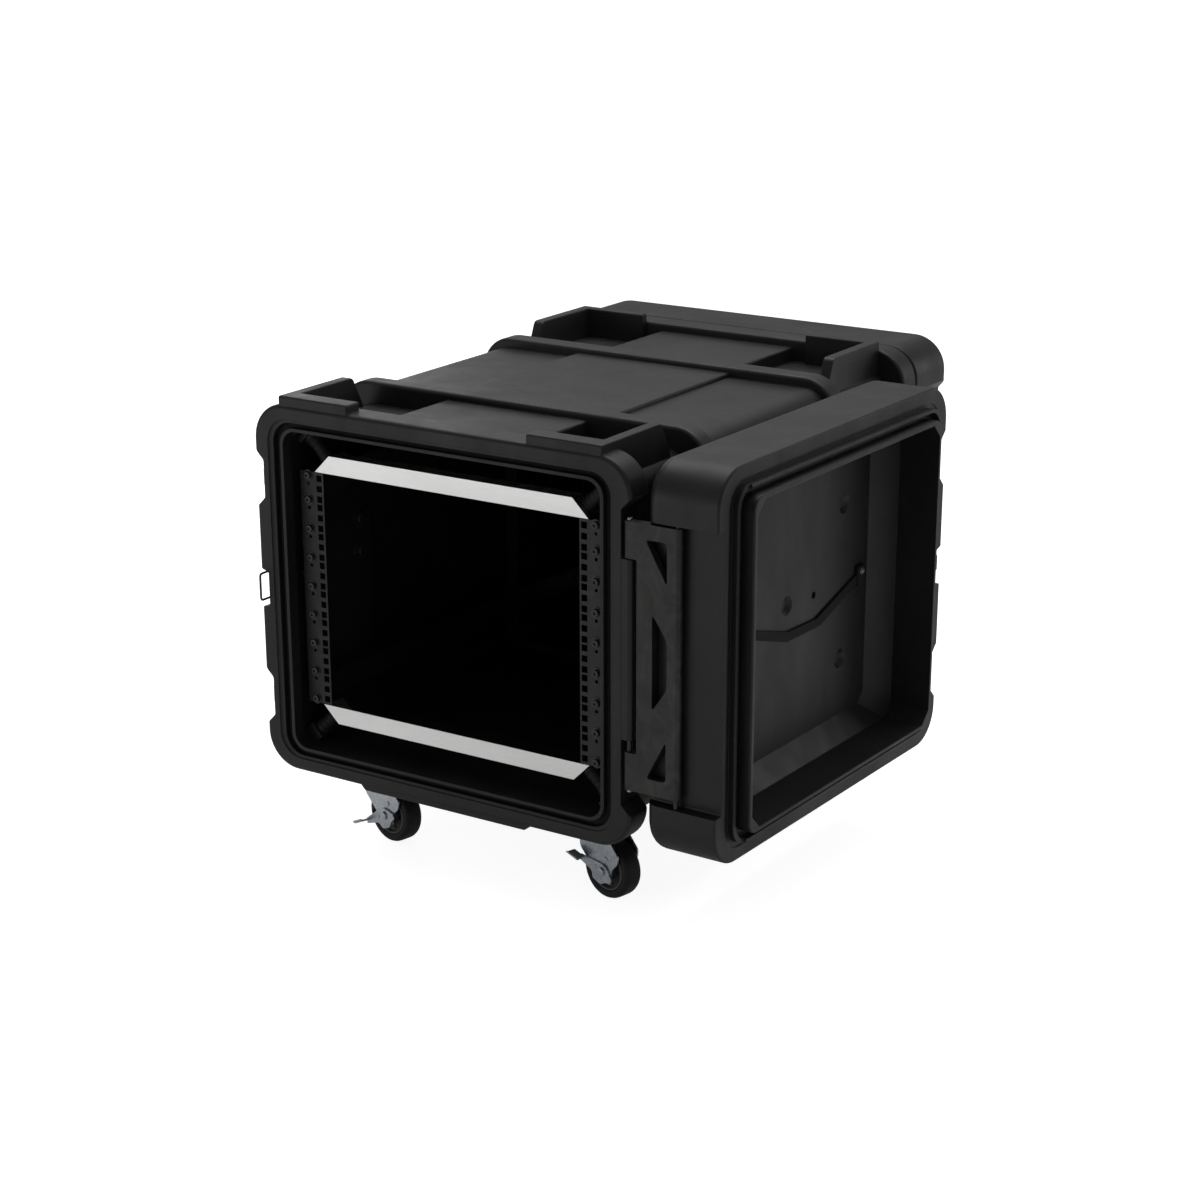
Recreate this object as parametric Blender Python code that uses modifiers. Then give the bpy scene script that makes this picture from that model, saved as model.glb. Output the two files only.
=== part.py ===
"""Shock-mounted equipment rack case, eight rack units high, on four casters.

A rotationally moulded body is open at the front and the rear. Each opening has a lid that
swings on a two-pin hinge link, so that it can fold flat against the side of the body. A steel
rack frame floats inside on rubber shock mounts. The front lid is hung open, and the rear lid
is shut. Lengths below are millimetres, and every mesh is made in metres.

Axes: X to the right, Y from the front to the rear, Z up. Everything is made about the middle of
the body, on the floor, and the rear hardware is the front hardware turned half a turn about Z.
At the end the whole case is carried to its stand, so that the origin lies under the middle of
the box that holds the body and both lids.
"""
import math

import bmesh
import bpy
from mathutils import Matrix, Vector

MM = 0.001
GAP = 0.3

# Body
FRONT = -428.0
BODY_DEPTH = 856.0
RING_HALF = 328.0
RING_BOTTOM = 129.5
RING_TOP = 697.0
RING_RADIUS = 55.0
RING_DEPTH = 47.0
RING_EDGE = 6.0
MIDDLE = (RING_BOTTOM + RING_TOP) / 2
RECESS_HALF = 311.5
CORE_BOTTOM = 147.5
CORE_TOP = 679.0
CORE_RADIUS = 35.0
NECK_HALF = 292.0
NECK_TOP = 661.0
NECK_RADIUS = 28.0
RIB_HALF = 326.5
RIB_TOP = 695.0
RIB_BOTTOM = 131.5
FRONT_RIB = (202.0, 236.0)
REAR_RIB = (578.0, 617.0)
PANEL_HALF = 125.0
PANEL_TOP = 684.0
CENTRE_PANEL_HALF = 141.0
CENTRE_PANEL_TOP = 686.0
CURB_OUTER = 280.0
CURB_INNER = 262.0
CURB_STEP = 155.0
CURB_TOP = 710.0
PAD_HALF = 153.0
PAD_BOTTOM = 122.5

# Openings: half widths and half heights of the steps in the rim, from outside in
RIM_STEP = (302.0, 263.5, 38.0)
RIM_EDGE = (293.5, 258.5, 33.0)
GROOVE_INNER = (281.5, 250.5, 27.0)
APERTURE = (276.0, 245.5, 23.0)
STEP_DEPTH = 3.0
GROOVE_DEPTH = 14.0
RIM_WALL = 23.0
NECK_CAVITY = (284.0, 167.0, 652.5, 25.0)
CORE_CAVITY = (303.0, 156.0, 670.0, 28.0)

# Lid
LID_GAP = 0.5
LID_DEPTH = 116.5
LID_BACK_EDGE = 18.0
TONGUE = (291.3, 256.9, 31.5)
TONGUE_INNER = (283.7, 251.9, 28.5)
TONGUE_LENGTH = 10.5
TONGUE_HINGE_LENGTH = 6.5
LIP = (271.5, 242.5, 21.0)
LID_CAVITY = (264.0, 236.0, 17.0)
LIP_LENGTH = 21.0
LID_FLOOR = 68.0
LID_BACK_WALL = 9.0
LID_BACK_RECESS = (248.0, 212.0, 30.0)

# Hinge link, between a pin in the body and a pin in the lid
PIN_X = 321.0
BODY_PIN_Y = FRONT + 8.0
LID_PIN_Y = FRONT - 68.0
PIN_RADIUS = 4.0
BORE_RADIUS = 4.35
LINK_THICKNESS = 14.0
BARREL_RADIUS = 7.0
LINK_BOTTOM = 223.0
LINK_TOP = 612.0
TAB_LOW_TOP = 280.0
TAB_HIGH_BOTTOM = 559.0
KNUCKLE_BOTTOM = 297.0
KNUCKLE_TOP = 558.0
KNUCKLE_RADIUS = 7.8
LID_HINGE_RECESS = (210.0, 614.0)
LID_OPEN = 178.85

# Latch bolts and their bridges on the free side
LATCH_HEIGHTS = (583.5, 243.5)
LATCH_ZONES = ((553.0, 610.0), (212.0, 272.0))
NOTCH = (386.0, 438.0)
BOLT_HALF = 16.0
BOLT_TRAVEL = 28.0
BOLT_REACH = 24.0
BRIDGE_HALF = 12.5
BAIL_AXIS_X = -318.0
BAIL_AXIS_IN = 22.0
BAIL_REACH = 34.0
BAIL_ZONE = (394.0, 438.5)

# Rack frame
RAIL_PLANE = FRONT + 30.0
SHEET = 2.5
RACK_UNIT = 44.45
UNITS = 8
HOLE_COLUMN = 232.55
BOLT_COLUMN = 252.4
HOLE_SIZE = 9.5
LOWEST_HOLE = 243.0
RAIL_INNER = 224.5
RAIL_OUTER = 268.0
RAIL_BOTTOM = 234.0
RAIL_TOP = 595.0
BAR_HEIGHT = 27.0
BAR_LONG_HALF = 240.0
BEAM_DEPTH = 18.0
BEAM_HEIGHT = 38.0
MOUNT_RADIUS = 14.0

# Casters
CASTER_X = 199.5
FRONT_CASTER_IN = 118.0
REAR_CASTER_IN = 698.0
CASTER_TOP = 121.7
WHEEL_RADIUS = 45.0
WHEEL_WIDTH = 34.0
CASTER_TRAIL = 28.0
FORK_THICKNESS = 3.0
FORK_INNER = 19.0
AXLE_RADIUS = 5.0
AXLE_HALF = 28.5
CASTER_TURN = -12.0
PEDAL_PRESSED = -25.0
PEDAL_RELEASED = 16.0

# Side handles
HANDLE_INS = (125.0, 713.0)
HANDLE_X = 300.5
HANDLE_Z = 474.0
HANDLE_DROP = 39.0
HANDLE_WIRE = 5.5
HANDLE_HALF = 50.0

# The body's middle, from the middle of the whole case with its front lid open
STAND = (-84.6, -51.4, 0.0)

PARTS = "equipment_rack_case"
COLOURS = {
    "moulded_black": ((0.022, 0.022, 0.023), 0.55, 0.0),
    "link_black": ((0.035, 0.034, 0.033), 0.5, 0.0),
    "seal_black": ((0.012, 0.012, 0.012), 0.8, 0.0),
    "rack_steel": ((0.015, 0.015, 0.016), 0.42, 0.6),
    "bar_aluminium": ((0.78, 0.79, 0.78), 0.32, 1.0),
    "zinc_steel": ((0.62, 0.65, 0.68), 0.3, 1.0),
    "mount_rubber": ((0.02, 0.02, 0.02), 0.75, 0.0),
    "tyre_rubber": ((0.03, 0.03, 0.033), 0.6, 0.0),
}


# ---- scene and mesh helpers ----

def clear_scene():
    for existing in list(bpy.data.objects):
        bpy.data.objects.remove(existing)


def new_collection(name):
    collection = bpy.data.collections.new(name)
    bpy.context.scene.collection.children.link(collection)
    return collection


def make_materials():
    for name, (colour, roughness, metallic) in COLOURS.items():
        finish = bpy.data.materials.new(name)
        finish.use_nodes = True
        shader = finish.node_tree.nodes["Principled BSDF"]
        shader.inputs["Base Color"].default_value = (*colour, 1.0)
        shader.inputs["Roughness"].default_value = roughness
        shader.inputs["Metallic"].default_value = metallic


def mesh_object(name, shape):
    """Turn a bmesh in millimetres into an object in metres, in the parts collection."""
    bmesh.ops.scale(shape, vec=(MM, MM, MM), verts=shape.verts)
    bmesh.ops.recalc_face_normals(shape, faces=shape.faces)
    mesh = bpy.data.meshes.new(name)
    shape.to_mesh(mesh)
    shape.free()
    solid = bpy.data.objects.new(name, mesh)
    bpy.data.collections[PARTS].objects.link(solid)
    return solid


def cube_shape(x, y, z):
    shape = bmesh.new()
    bmesh.ops.create_cube(shape, size=1.0)
    for vert in shape.verts:
        vert.co.x = x[0] if vert.co.x < 0 else x[1]
        vert.co.y = y[0] if vert.co.y < 0 else y[1]
        vert.co.z = z[0] if vert.co.z < 0 else z[1]
    return shape


def block(x, y, z, name="block"):
    return mesh_object(name, cube_shape(x, y, z))


def tunnel(half, z, y, radius, name="tunnel", edge=0.0, steps=5):
    """A block with its four long edges, along Y, rounded; edge rounds the low-Y end too."""
    shape = cube_shape((-half, half), y, z)
    long_edges = [e for e in shape.edges if abs(e.verts[0].co.y - e.verts[1].co.y) > 1.0]
    bmesh.ops.bevel(shape, geom=long_edges, offset=radius, segments=steps, profile=0.5,
                    affect="EDGES", clamp_overlap=False)
    if edge:
        end_edges = [e for e in shape.edges if all(abs(v.co.y - y[0]) < 0.01 for v in e.verts)]
        bmesh.ops.bevel(shape, geom=end_edges, offset=edge, segments=2, profile=0.5,
                        affect="EDGES", clamp_overlap=False)
    return mesh_object(name, shape)


def rim_tunnel(size, y, name="rim", steps=5):
    half_width, half_height, radius = size
    return tunnel(half_width, (MIDDLE - half_height, MIDDLE + half_height), y, radius, name,
                  steps=steps)


def rod(centre, radius, length, axis="Z", name="rod", steps=14):
    """A cylinder about its centre, along X, Y or Z."""
    shape = bmesh.new()
    bmesh.ops.create_cone(shape, cap_ends=True, segments=steps, radius1=radius,
                          radius2=radius, depth=length)
    turns = {"X": Matrix.Rotation(math.pi / 2, 3, "Y"), "Y": Matrix.Rotation(math.pi / 2, 3, "X"),
             "Z": Matrix.Identity(3)}
    bmesh.ops.rotate(shape, cent=(0, 0, 0), matrix=turns[axis], verts=shape.verts)
    bmesh.ops.translate(shape, vec=centre, verts=shape.verts)
    return mesh_object(name, shape)


def curve_object(name, dimensions):
    curve = bpy.data.curves.new(name, "CURVE")
    curve.dimensions = dimensions
    holder = bpy.data.objects.new(name, curve)
    bpy.data.collections[PARTS].objects.link(holder)
    return holder


def add_spline(holder, points, closed):
    spline = holder.data.splines.new("POLY")
    spline.points.add(len(points) - 1)
    for point, place in zip(spline.points, points):
        point.co = (*(Vector(place).to_3d() * MM), 1.0)
    spline.use_cyclic_u = closed


def solid_from_curve(holder):
    """Bake a curve to a welded mesh that keeps its place."""
    graph = bpy.context.evaluated_depsgraph_get()
    mesh = bpy.data.meshes.new_from_object(holder.evaluated_get(graph))
    shape = bmesh.new()
    shape.from_mesh(mesh)
    bmesh.ops.remove_doubles(shape, verts=shape.verts, dist=0.000001)
    bmesh.ops.recalc_face_normals(shape, faces=shape.faces)
    shape.to_mesh(mesh)
    shape.free()
    solid = bpy.data.objects.new(holder.name, mesh)
    solid.matrix_world = holder.matrix_world
    bpy.data.collections[PARTS].objects.link(solid)
    bpy.data.objects.remove(holder)
    return solid


PLANES = {
    "XZ": Matrix(((1, 0, 0), (0, 0, 1), (0, 1, 0))),
    "YZ": Matrix(((0, 0, 1), (1, 0, 0), (0, 1, 0))),
    "XY": Matrix.Identity(3),
}


def plate(outlines, plane, span, name="plate"):
    """Flat outlines, the first one solid and the rest holes, extruded over span."""
    holder = curve_object(name, "2D")
    holder.data.fill_mode = "BOTH"
    holder.data.extrude = abs(span[1] - span[0]) / 2 * MM
    for outline in outlines:
        add_spline(holder, outline, True)
    solid = solid_from_curve(holder)
    solid.data.transform(Matrix.Translation((0, 0, (span[0] + span[1]) / 2 * MM)))
    solid.data.transform(PLANES[plane].to_4x4())
    face_outwards(solid)
    return solid


def face_outwards(solid):
    shape = bmesh.new()
    shape.from_mesh(solid.data)
    bmesh.ops.recalc_face_normals(shape, faces=shape.faces)
    shape.to_mesh(solid.data)
    shape.free()


def wire(points, radius, closed=False, name="wire"):
    holder = curve_object(name, "3D")
    holder.data.bevel_depth = radius * MM
    holder.data.bevel_resolution = 2
    holder.data.use_fill_caps = True
    add_spline(holder, points, closed)
    return solid_from_curve(holder)


def combine(base, tools, operation):
    """Join or cut tools into base, and remove them."""
    for tool in tools:
        modifier = base.modifiers.new("combine", "BOOLEAN")
        modifier.operation = operation
        modifier.solver = "EXACT"
        modifier.object = tool
        graph = bpy.context.evaluated_depsgraph_get()
        mesh = bpy.data.meshes.new_from_object(base.evaluated_get(graph))
        base.modifiers.clear()
        base.data = mesh
        bpy.data.objects.remove(tool)
    return base


def join(base, *tools):
    return combine(base, tools, "UNION")


def cut(base, *tools):
    return combine(base, tools, "DIFFERENCE")


def half_turn(solid):
    """Turn a front piece half a turn about Z, to the rear."""
    solid.data.transform(Matrix.Rotation(math.pi, 4, "Z"))
    return solid


def finish(solid, name, material, smooth_angle=30.0):
    solid.name = name
    solid.data.name = name
    solid.data.materials.clear()
    solid.data.materials.append(bpy.data.materials[material])
    solid.data.shade_smooth()
    solid.data.set_sharp_from_angle(angle=math.radians(smooth_angle))
    return solid


def pivot(name, place, parent=None):
    """An empty on a joint's axis, with nothing turned yet."""
    empty = bpy.data.objects.new(name, None)
    empty.empty_display_size = 0.03
    bpy.data.collections[PARTS].objects.link(empty)
    empty.location = Vector(place) * MM
    if parent:
        bpy.context.view_layer.update()
        empty.parent = parent
        empty.matrix_parent_inverse = parent.matrix_world.inverted()
    return empty


def hang(solid, empty):
    """Parent a piece to an empty without moving it."""
    bpy.context.view_layer.update()
    solid.parent = empty
    solid.matrix_parent_inverse = empty.matrix_world.inverted()


def behind(depth):
    """Y at this distance behind the plane of the front rim."""
    return FRONT + depth


def span_behind(near, far):
    return (behind(near), behind(far))


# ---- side pattern of the rim and of the lids ----

def side_cutter(side, z, y, slope=16.5):
    """A cutter for a recess in a side wall, with sloping ends; side is -1 or +1."""
    outer = side * (RING_HALF + 20.0)
    inner = side * RECESS_HALF
    flare = slope * 20.0 / (RING_HALF - RECESS_HALF) + slope
    outline = [(inner, z[0]), (outer, z[0] - flare), (outer, z[1] + flare), (inner, z[1])]
    return plate([outline], "XZ", y)


def latch_side_cutters(y):
    cutters = [side_cutter(-1, zone, y) for zone in LATCH_ZONES]
    cutters.append(side_cutter(-1, NOTCH, y, 5.0))
    return cutters


# ---- body shell ----

def rim_ring():
    ring = tunnel(RING_HALF, (RING_BOTTOM, RING_TOP), span_behind(0, RING_DEPTH), RING_RADIUS,
                  edge=RING_EDGE, steps=6)
    sides = span_behind(-10, RING_DEPTH + 10)
    cut(ring, *latch_side_cutters(sides))
    cut(ring, side_cutter(1, (199.0, 627.0), sides))
    return ring


def rib(depths):
    return tunnel(RIB_HALF, (RIB_BOTTOM, RIB_TOP), span_behind(*depths), RING_RADIUS, steps=6)


def neck(depths):
    return tunnel(NECK_HALF, (CORE_BOTTOM, NECK_TOP), span_behind(*depths), NECK_RADIUS)


def curbs(depths, wall, slope):
    """Two L-shaped stacking curbs at one end; slope is where their free ends ramp down."""
    pieces = []
    outline = [(behind(depths[0]), NECK_TOP - 8), (behind(depths[0]), CURB_TOP),
               (behind(slope[0]), CURB_TOP), (behind(slope[1]), NECK_TOP),
               (behind(slope[1]), NECK_TOP - 8)]
    for side in (-1, 1):
        faces = sorted((side * CURB_INNER, side * CURB_OUTER))
        pieces.append(plate([outline], "YZ", faces))
        arms = sorted((side * CURB_STEP, side * (CURB_OUTER - 0.5)))
        pieces.append(block(arms, span_behind(*wall), (NECK_TOP - 6, CURB_TOP)))
    return pieces


def stacking_pad(depths):
    outline = [(-PAD_HALF, 140.0), (-PAD_HALF, 131.0), (-PAD_HALF + 8, PAD_BOTTOM),
               (PAD_HALF - 8, PAD_BOTTOM), (PAD_HALF, 131.0), (PAD_HALF, 140.0)]
    return plate([outline], "XZ", span_behind(*depths))


def caster_pads():
    pads = []
    for depth in (FRONT_CASTER_IN, REAR_CASTER_IN):
        for side in (-1, 1):
            x = (side * CASTER_X - 52, side * CASTER_X + 52)
            pads.append(block(x, span_behind(depth - 48, depth + 48),
                              (CASTER_TOP + GAP, CORE_BOTTOM + 5)))
    return pads


def knuckle():
    """The moulded half of the hinge, between the two tabs of the link."""
    z = (KNUCKLE_BOTTOM, KNUCKLE_TOP)
    height = z[1] - z[0]
    middle = (z[0] + z[1]) / 2
    web = block((305.0, PIN_X), (BODY_PIN_Y - KNUCKLE_RADIUS + 0.2, BODY_PIN_Y + KNUCKLE_RADIUS),
                z)
    barrel = rod((PIN_X, BODY_PIN_Y, middle), KNUCKLE_RADIUS, height - 0.4)
    return join(web, barrel)


def mount_seats(top, front_y):
    """Slanted seats in the corners of the neck for the shock mounts."""
    seats = []
    thickness = 10.0 if top else 18.0
    for side in (-1, 1):
        seat = block((-MOUNT_RADIUS, MOUNT_RADIUS), (front_y, front_y + 40),
                     (0.0, thickness))
        place_diagonal(seat, side, top, 48.0)
        seats.append(seat)
    return seats


def diagonal_start(side, top):
    """Middle of a bar's slanted end."""
    x = side * (BAR_LONG_HALF - BAR_HEIGHT / 2)
    z = RAIL_TOP + GAP + BAR_HEIGHT / 2 if top else RAIL_BOTTOM - GAP - BAR_HEIGHT / 2
    return Vector((x, 0.0, z))


def place_diagonal(solid, side, top, distance):
    """Lay a piece that stands on Z along the line from a bar's end to the shell's corner."""
    upward = 1 if top else -1
    direction = Vector((side, 0, upward)).normalized()
    turn = Vector((0, 0, 1)).rotation_difference(direction).to_matrix().to_4x4()
    start = diagonal_start(side, top) + direction * distance
    solid.data.transform(Matrix.Translation(start * MM) @ turn)


def handle_lugs():
    """Two bored lugs for each side handle."""
    lugs = []
    for depth in HANDLE_INS:
        for side in (-1, 1):
            for end in (-1, 1):
                y = sorted((behind(depth) + end * 57.0, behind(depth) + end * 67.0))
                x = sorted((side * (NECK_HALF - 4), side * (HANDLE_X + 8)))
                lug = block(x, y, (HANDLE_Z - 9, HANDLE_Z + 9))
                cut(lug, rod((side * HANDLE_X, behind(depth), HANDLE_Z), HANDLE_WIRE + 0.4, 160, "Y"))
                lugs.append(lug)
    return lugs


def bail_lug():
    """The bored lug on the rim that holds the wire bail."""
    middle = (BAIL_ZONE[0] + BAIL_ZONE[1]) / 2
    lug = block((-323.0, -308.0), span_behind(BAIL_AXIS_IN - 5, BAIL_AXIS_IN + 5),
                (middle - 7, middle + 7))
    return cut(lug, rod((BAIL_AXIS_X, behind(BAIL_AXIS_IN), middle), 2.3, 40))


def rim_cutters():
    """Step, groove and opening of one rim; the lip between groove and opening is left."""
    step = rim_tunnel(RIM_STEP, (FRONT - 5, FRONT + STEP_DEPTH))
    groove = rim_tunnel(RIM_EDGE, (FRONT + STEP_DEPTH - 1, FRONT + GROOVE_DEPTH))
    cut(groove, rim_tunnel(GROOVE_INNER, (FRONT - 5, FRONT + GROOVE_DEPTH + 5)))
    opening = rim_tunnel(APERTURE, (FRONT - 5, FRONT + RIM_WALL))
    return [step, groove, opening]


def cavity(size, depths):
    half, low, high, radius = size
    return tunnel(half, (low, high), span_behind(*depths), radius)


def make_body_shell():
    shell = tunnel(RECESS_HALF, (CORE_BOTTOM, CORE_TOP), span_behind(204, 615), CORE_RADIUS)
    join(shell, neck((20, 216)), neck((604, BODY_DEPTH - 20)))
    join(shell, rib(FRONT_RIB), rib(REAR_RIB))
    join(shell, rim_ring(), half_turn(rim_ring()))
    join(shell, block((-PANEL_HALF, PANEL_HALF), span_behind(30, 204), (NECK_TOP - 5, PANEL_TOP)))
    join(shell, block((-CENTRE_PANEL_HALF, CENTRE_PANEL_HALF), span_behind(234, 580),
                      (CORE_TOP - 5, CENTRE_PANEL_TOP)))
    join(shell, block((-PANEL_HALF, PANEL_HALF), span_behind(615, 830),
                      (NECK_TOP - 5, PANEL_TOP)))
    join(shell, *curbs((2, 155), (2.5, 34), (155, 180)))
    join(shell, *curbs((815, 661), (797, 814.5), (661, 640)))
    join(shell, stacking_pad((3, 44)), stacking_pad((812, 853)), *caster_pads())
    join(shell, knuckle(), half_turn(knuckle()), bail_lug(), half_turn(bail_lug()))
    cut(shell, cavity(NECK_CAVITY, (RIM_WALL - 1, 214)))
    cut(shell, cavity(NECK_CAVITY, (606, BODY_DEPTH - RIM_WALL + 1)))
    cut(shell, cavity(CORE_CAVITY, (212.5, 607.5)))
    for cutter in rim_cutters():
        rear_cutter = cutter.copy()
        rear_cutter.data = cutter.data.copy()
        bpy.data.collections[PARTS].objects.link(rear_cutter)
        cut(shell, cutter, half_turn(rear_cutter))
    for top in (True, False):
        for seat in mount_seats(top, behind(35)):
            join(shell, seat)
        for seat in mount_seats(top, behind(35)):
            join(shell, half_turn(seat))
    join(shell, *handle_lugs())
    bore = rod((PIN_X, BODY_PIN_Y, MIDDLE), BORE_RADIUS, 420)
    rear_bore = half_turn(rod((PIN_X, BODY_PIN_Y, MIDDLE), BORE_RADIUS, 420))
    cut(shell, bore, rear_bore)
    return finish(shell, "body_shell", "moulded_black")


# ---- lids and their hardware, built shut at the front ----

def bolt_guides(height):
    """The two grooved guides in which a latch bolt slides."""
    guides = []
    for side in (-1, 1):
        z = sorted((height + side * (BOLT_HALF + 0.6), height + side * 25.0))
        guide = block((-320.0, -306.0), (FRONT - 90, FRONT - 26), z)
        groove = sorted((height + side * (BOLT_HALF - 1), height + side * (BOLT_HALF + 3.6)))
        cut(guide, block((-315.6, -313.2), (FRONT - 100, FRONT - 10), groove))
        guides.append(guide)
    return guides


def make_lid():
    rim_plane = FRONT - LID_GAP
    back_plane = FRONT - LID_DEPTH
    lid = tunnel(RING_HALF, (RING_BOTTOM, RING_TOP), (back_plane, rim_plane), RING_RADIUS,
                 edge=LID_BACK_EDGE, steps=6)
    sides = (back_plane - 10, rim_plane + 10)
    cut(lid, *latch_side_cutters(sides))
    cut(lid, side_cutter(1, LID_HINGE_RECESS, sides, 1.0))
    cut(lid, rim_tunnel(RIM_STEP, (rim_plane - 2, rim_plane + 5)))
    tongue = rim_tunnel(TONGUE, (rim_plane - 5, FRONT + TONGUE_LENGTH))
    cut(tongue, rim_tunnel(TONGUE_INNER, (rim_plane - 2, FRONT + 30)))
    cut(tongue, block((262.0, 310.0), (FRONT + TONGUE_HINGE_LENGTH, FRONT + 20),
                      (RING_BOTTOM, RING_TOP)))
    join(lid, tongue)
    join(lid, rim_tunnel(LIP, (rim_plane - 6, FRONT + LIP_LENGTH)))
    cut(lid, rim_tunnel(LID_CAVITY, (FRONT - LID_FLOOR, FRONT + 40)))
    recess = rim_tunnel(LID_BACK_RECESS, (back_plane - 10, FRONT - LID_FLOOR - LID_BACK_WALL))
    cut(lid, recess)
    for height in LATCH_HEIGHTS:
        join(lid, *bolt_guides(height))
    middle = (BAIL_ZONE[0] + BAIL_ZONE[1]) / 2
    join(lid, block((-322.0, -306.0), (FRONT - 9.5, FRONT - 3.0), (middle - 12, middle + 12)))
    cut(lid, rod((PIN_X, LID_PIN_Y, MIDDLE), BORE_RADIUS, 432))
    return lid


def make_link():
    y_body, y_lid = BODY_PIN_Y, LID_PIN_Y
    near = y_body - 15
    web = [(y_body, TAB_HIGH_BOTTOM + 0.5), (near, TAB_HIGH_BOTTOM + 0.5),
           (near, TAB_LOW_TOP - 0.5), (y_body, TAB_LOW_TOP - 0.5), (y_body, LINK_BOTTOM + 0.5),
           (y_lid, LINK_BOTTOM + 0.5), (y_lid, LINK_TOP - 0.5), (y_body, LINK_TOP - 0.5)]
    top_window = [(y_body - 29, 590.0), (y_body - 63, 590.0), (y_body - 63, 530.0)]
    middle_window = [(y_body - 40, 487.0), (y_body - 63.5, 452.0), (y_body - 63.5, 382.0),
                     (y_body - 40, 348.0)]
    low_window = [(y_body - 62.5, 307.0), (y_body - 63, 247.0), (y_body - 31, 247.0)]
    half = LINK_THICKNESS / 2
    link = plate([web, top_window, middle_window, low_window], "YZ", (PIN_X - half, PIN_X + half))
    height = LINK_TOP - LINK_BOTTOM
    middle = (LINK_TOP + LINK_BOTTOM) / 2
    join(link, rod((PIN_X, y_lid, middle), BARREL_RADIUS + 0.1, height))
    for low, high in ((TAB_HIGH_BOTTOM, LINK_TOP), (LINK_BOTTOM, TAB_LOW_TOP)):
        join(link, rod((PIN_X, y_body, (low + high) / 2), BARREL_RADIUS + 0.1, high - low))
    cut(link, rod((PIN_X, y_lid, middle), BORE_RADIUS, height + 20))
    cut(link, rod((PIN_X, y_body, middle), BORE_RADIUS, height + 20))
    return link


def make_gasket():
    y = (FRONT + TONGUE_LENGTH + 0.6, FRONT + GROOVE_DEPTH - GAP)
    outer = (RIM_EDGE[0] - GAP, RIM_EDGE[1] - GAP, RIM_EDGE[2])
    inner = (GROOVE_INNER[0] + GAP, GROOVE_INNER[1] + GAP, GROOVE_INNER[2])
    gasket = rim_tunnel(outer, y)
    return cut(gasket, rim_tunnel(inner, (y[0] - 5, y[1] + 5)))


def make_keeper(height):
    """A low bridge on the rim, which a latch bolt runs under."""
    bridge = block((-RECESS_HALF - 4.6, -RECESS_HALF - GAP), span_behind(4, 28),
                   (height - BRIDGE_HALF, height + BRIDGE_HALF))
    way = block((-RECESS_HALF - 2.9, -RECESS_HALF + 2), span_behind(0, 32),
                (height - 9, height + 9))
    return cut(bridge, way)


def make_latch(height):
    """A latch bolt, shot: a flat nose, a thicker slide with side tongues, and a grip."""
    x = -RECESS_HALF - 0.6
    bolt = block((x - 1.9, x), (FRONT - 50, behind(BOLT_REACH)), (height - 8.4, height + 8.4))
    join(bolt, block((x - 4.4, x - 0.05), (FRONT - 64, FRONT - 24),
                     (height - BOLT_HALF, height + BOLT_HALF)))
    join(bolt, block((x - 3.1, x - 1.5), (FRONT - 63.5, FRONT - 24.5),
                     (height - BOLT_HALF - 3, height + BOLT_HALF + 3)))
    return join(bolt, block((x - 13.0, x - 3.0), (FRONT - 46, FRONT - 40),
                            (height - 13, height + 13)))


def rounded_path(points, radius, steps=3):
    """A closed path with its corners rounded, as a list of points."""
    path = []
    count = len(points)
    for index in range(count):
        corner = Vector(points[index])
        before = (Vector(points[index - 1]) - corner).normalized()
        after = (Vector(points[(index + 1) % count]) - corner).normalized()
        for step in range(steps + 1):
            share = step / steps
            start = corner + before * radius * (1 - share)
            end = corner + after * radius * share
            path.append(start * (1 - share) + end * share)
    return path


def make_bail():
    low, high = BAIL_ZONE
    y_back, y_front = behind(BAIL_AXIS_IN), behind(BAIL_AXIS_IN - BAIL_REACH)
    x = BAIL_AXIS_X
    corners = [(x, y_back, low + 1.75), (x, y_front, low + 1.75), (x, y_front, high - 1.75),
               (x, y_back, high - 1.75)]
    return wire(rounded_path(corners, 5.0), 1.75, True)


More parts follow.
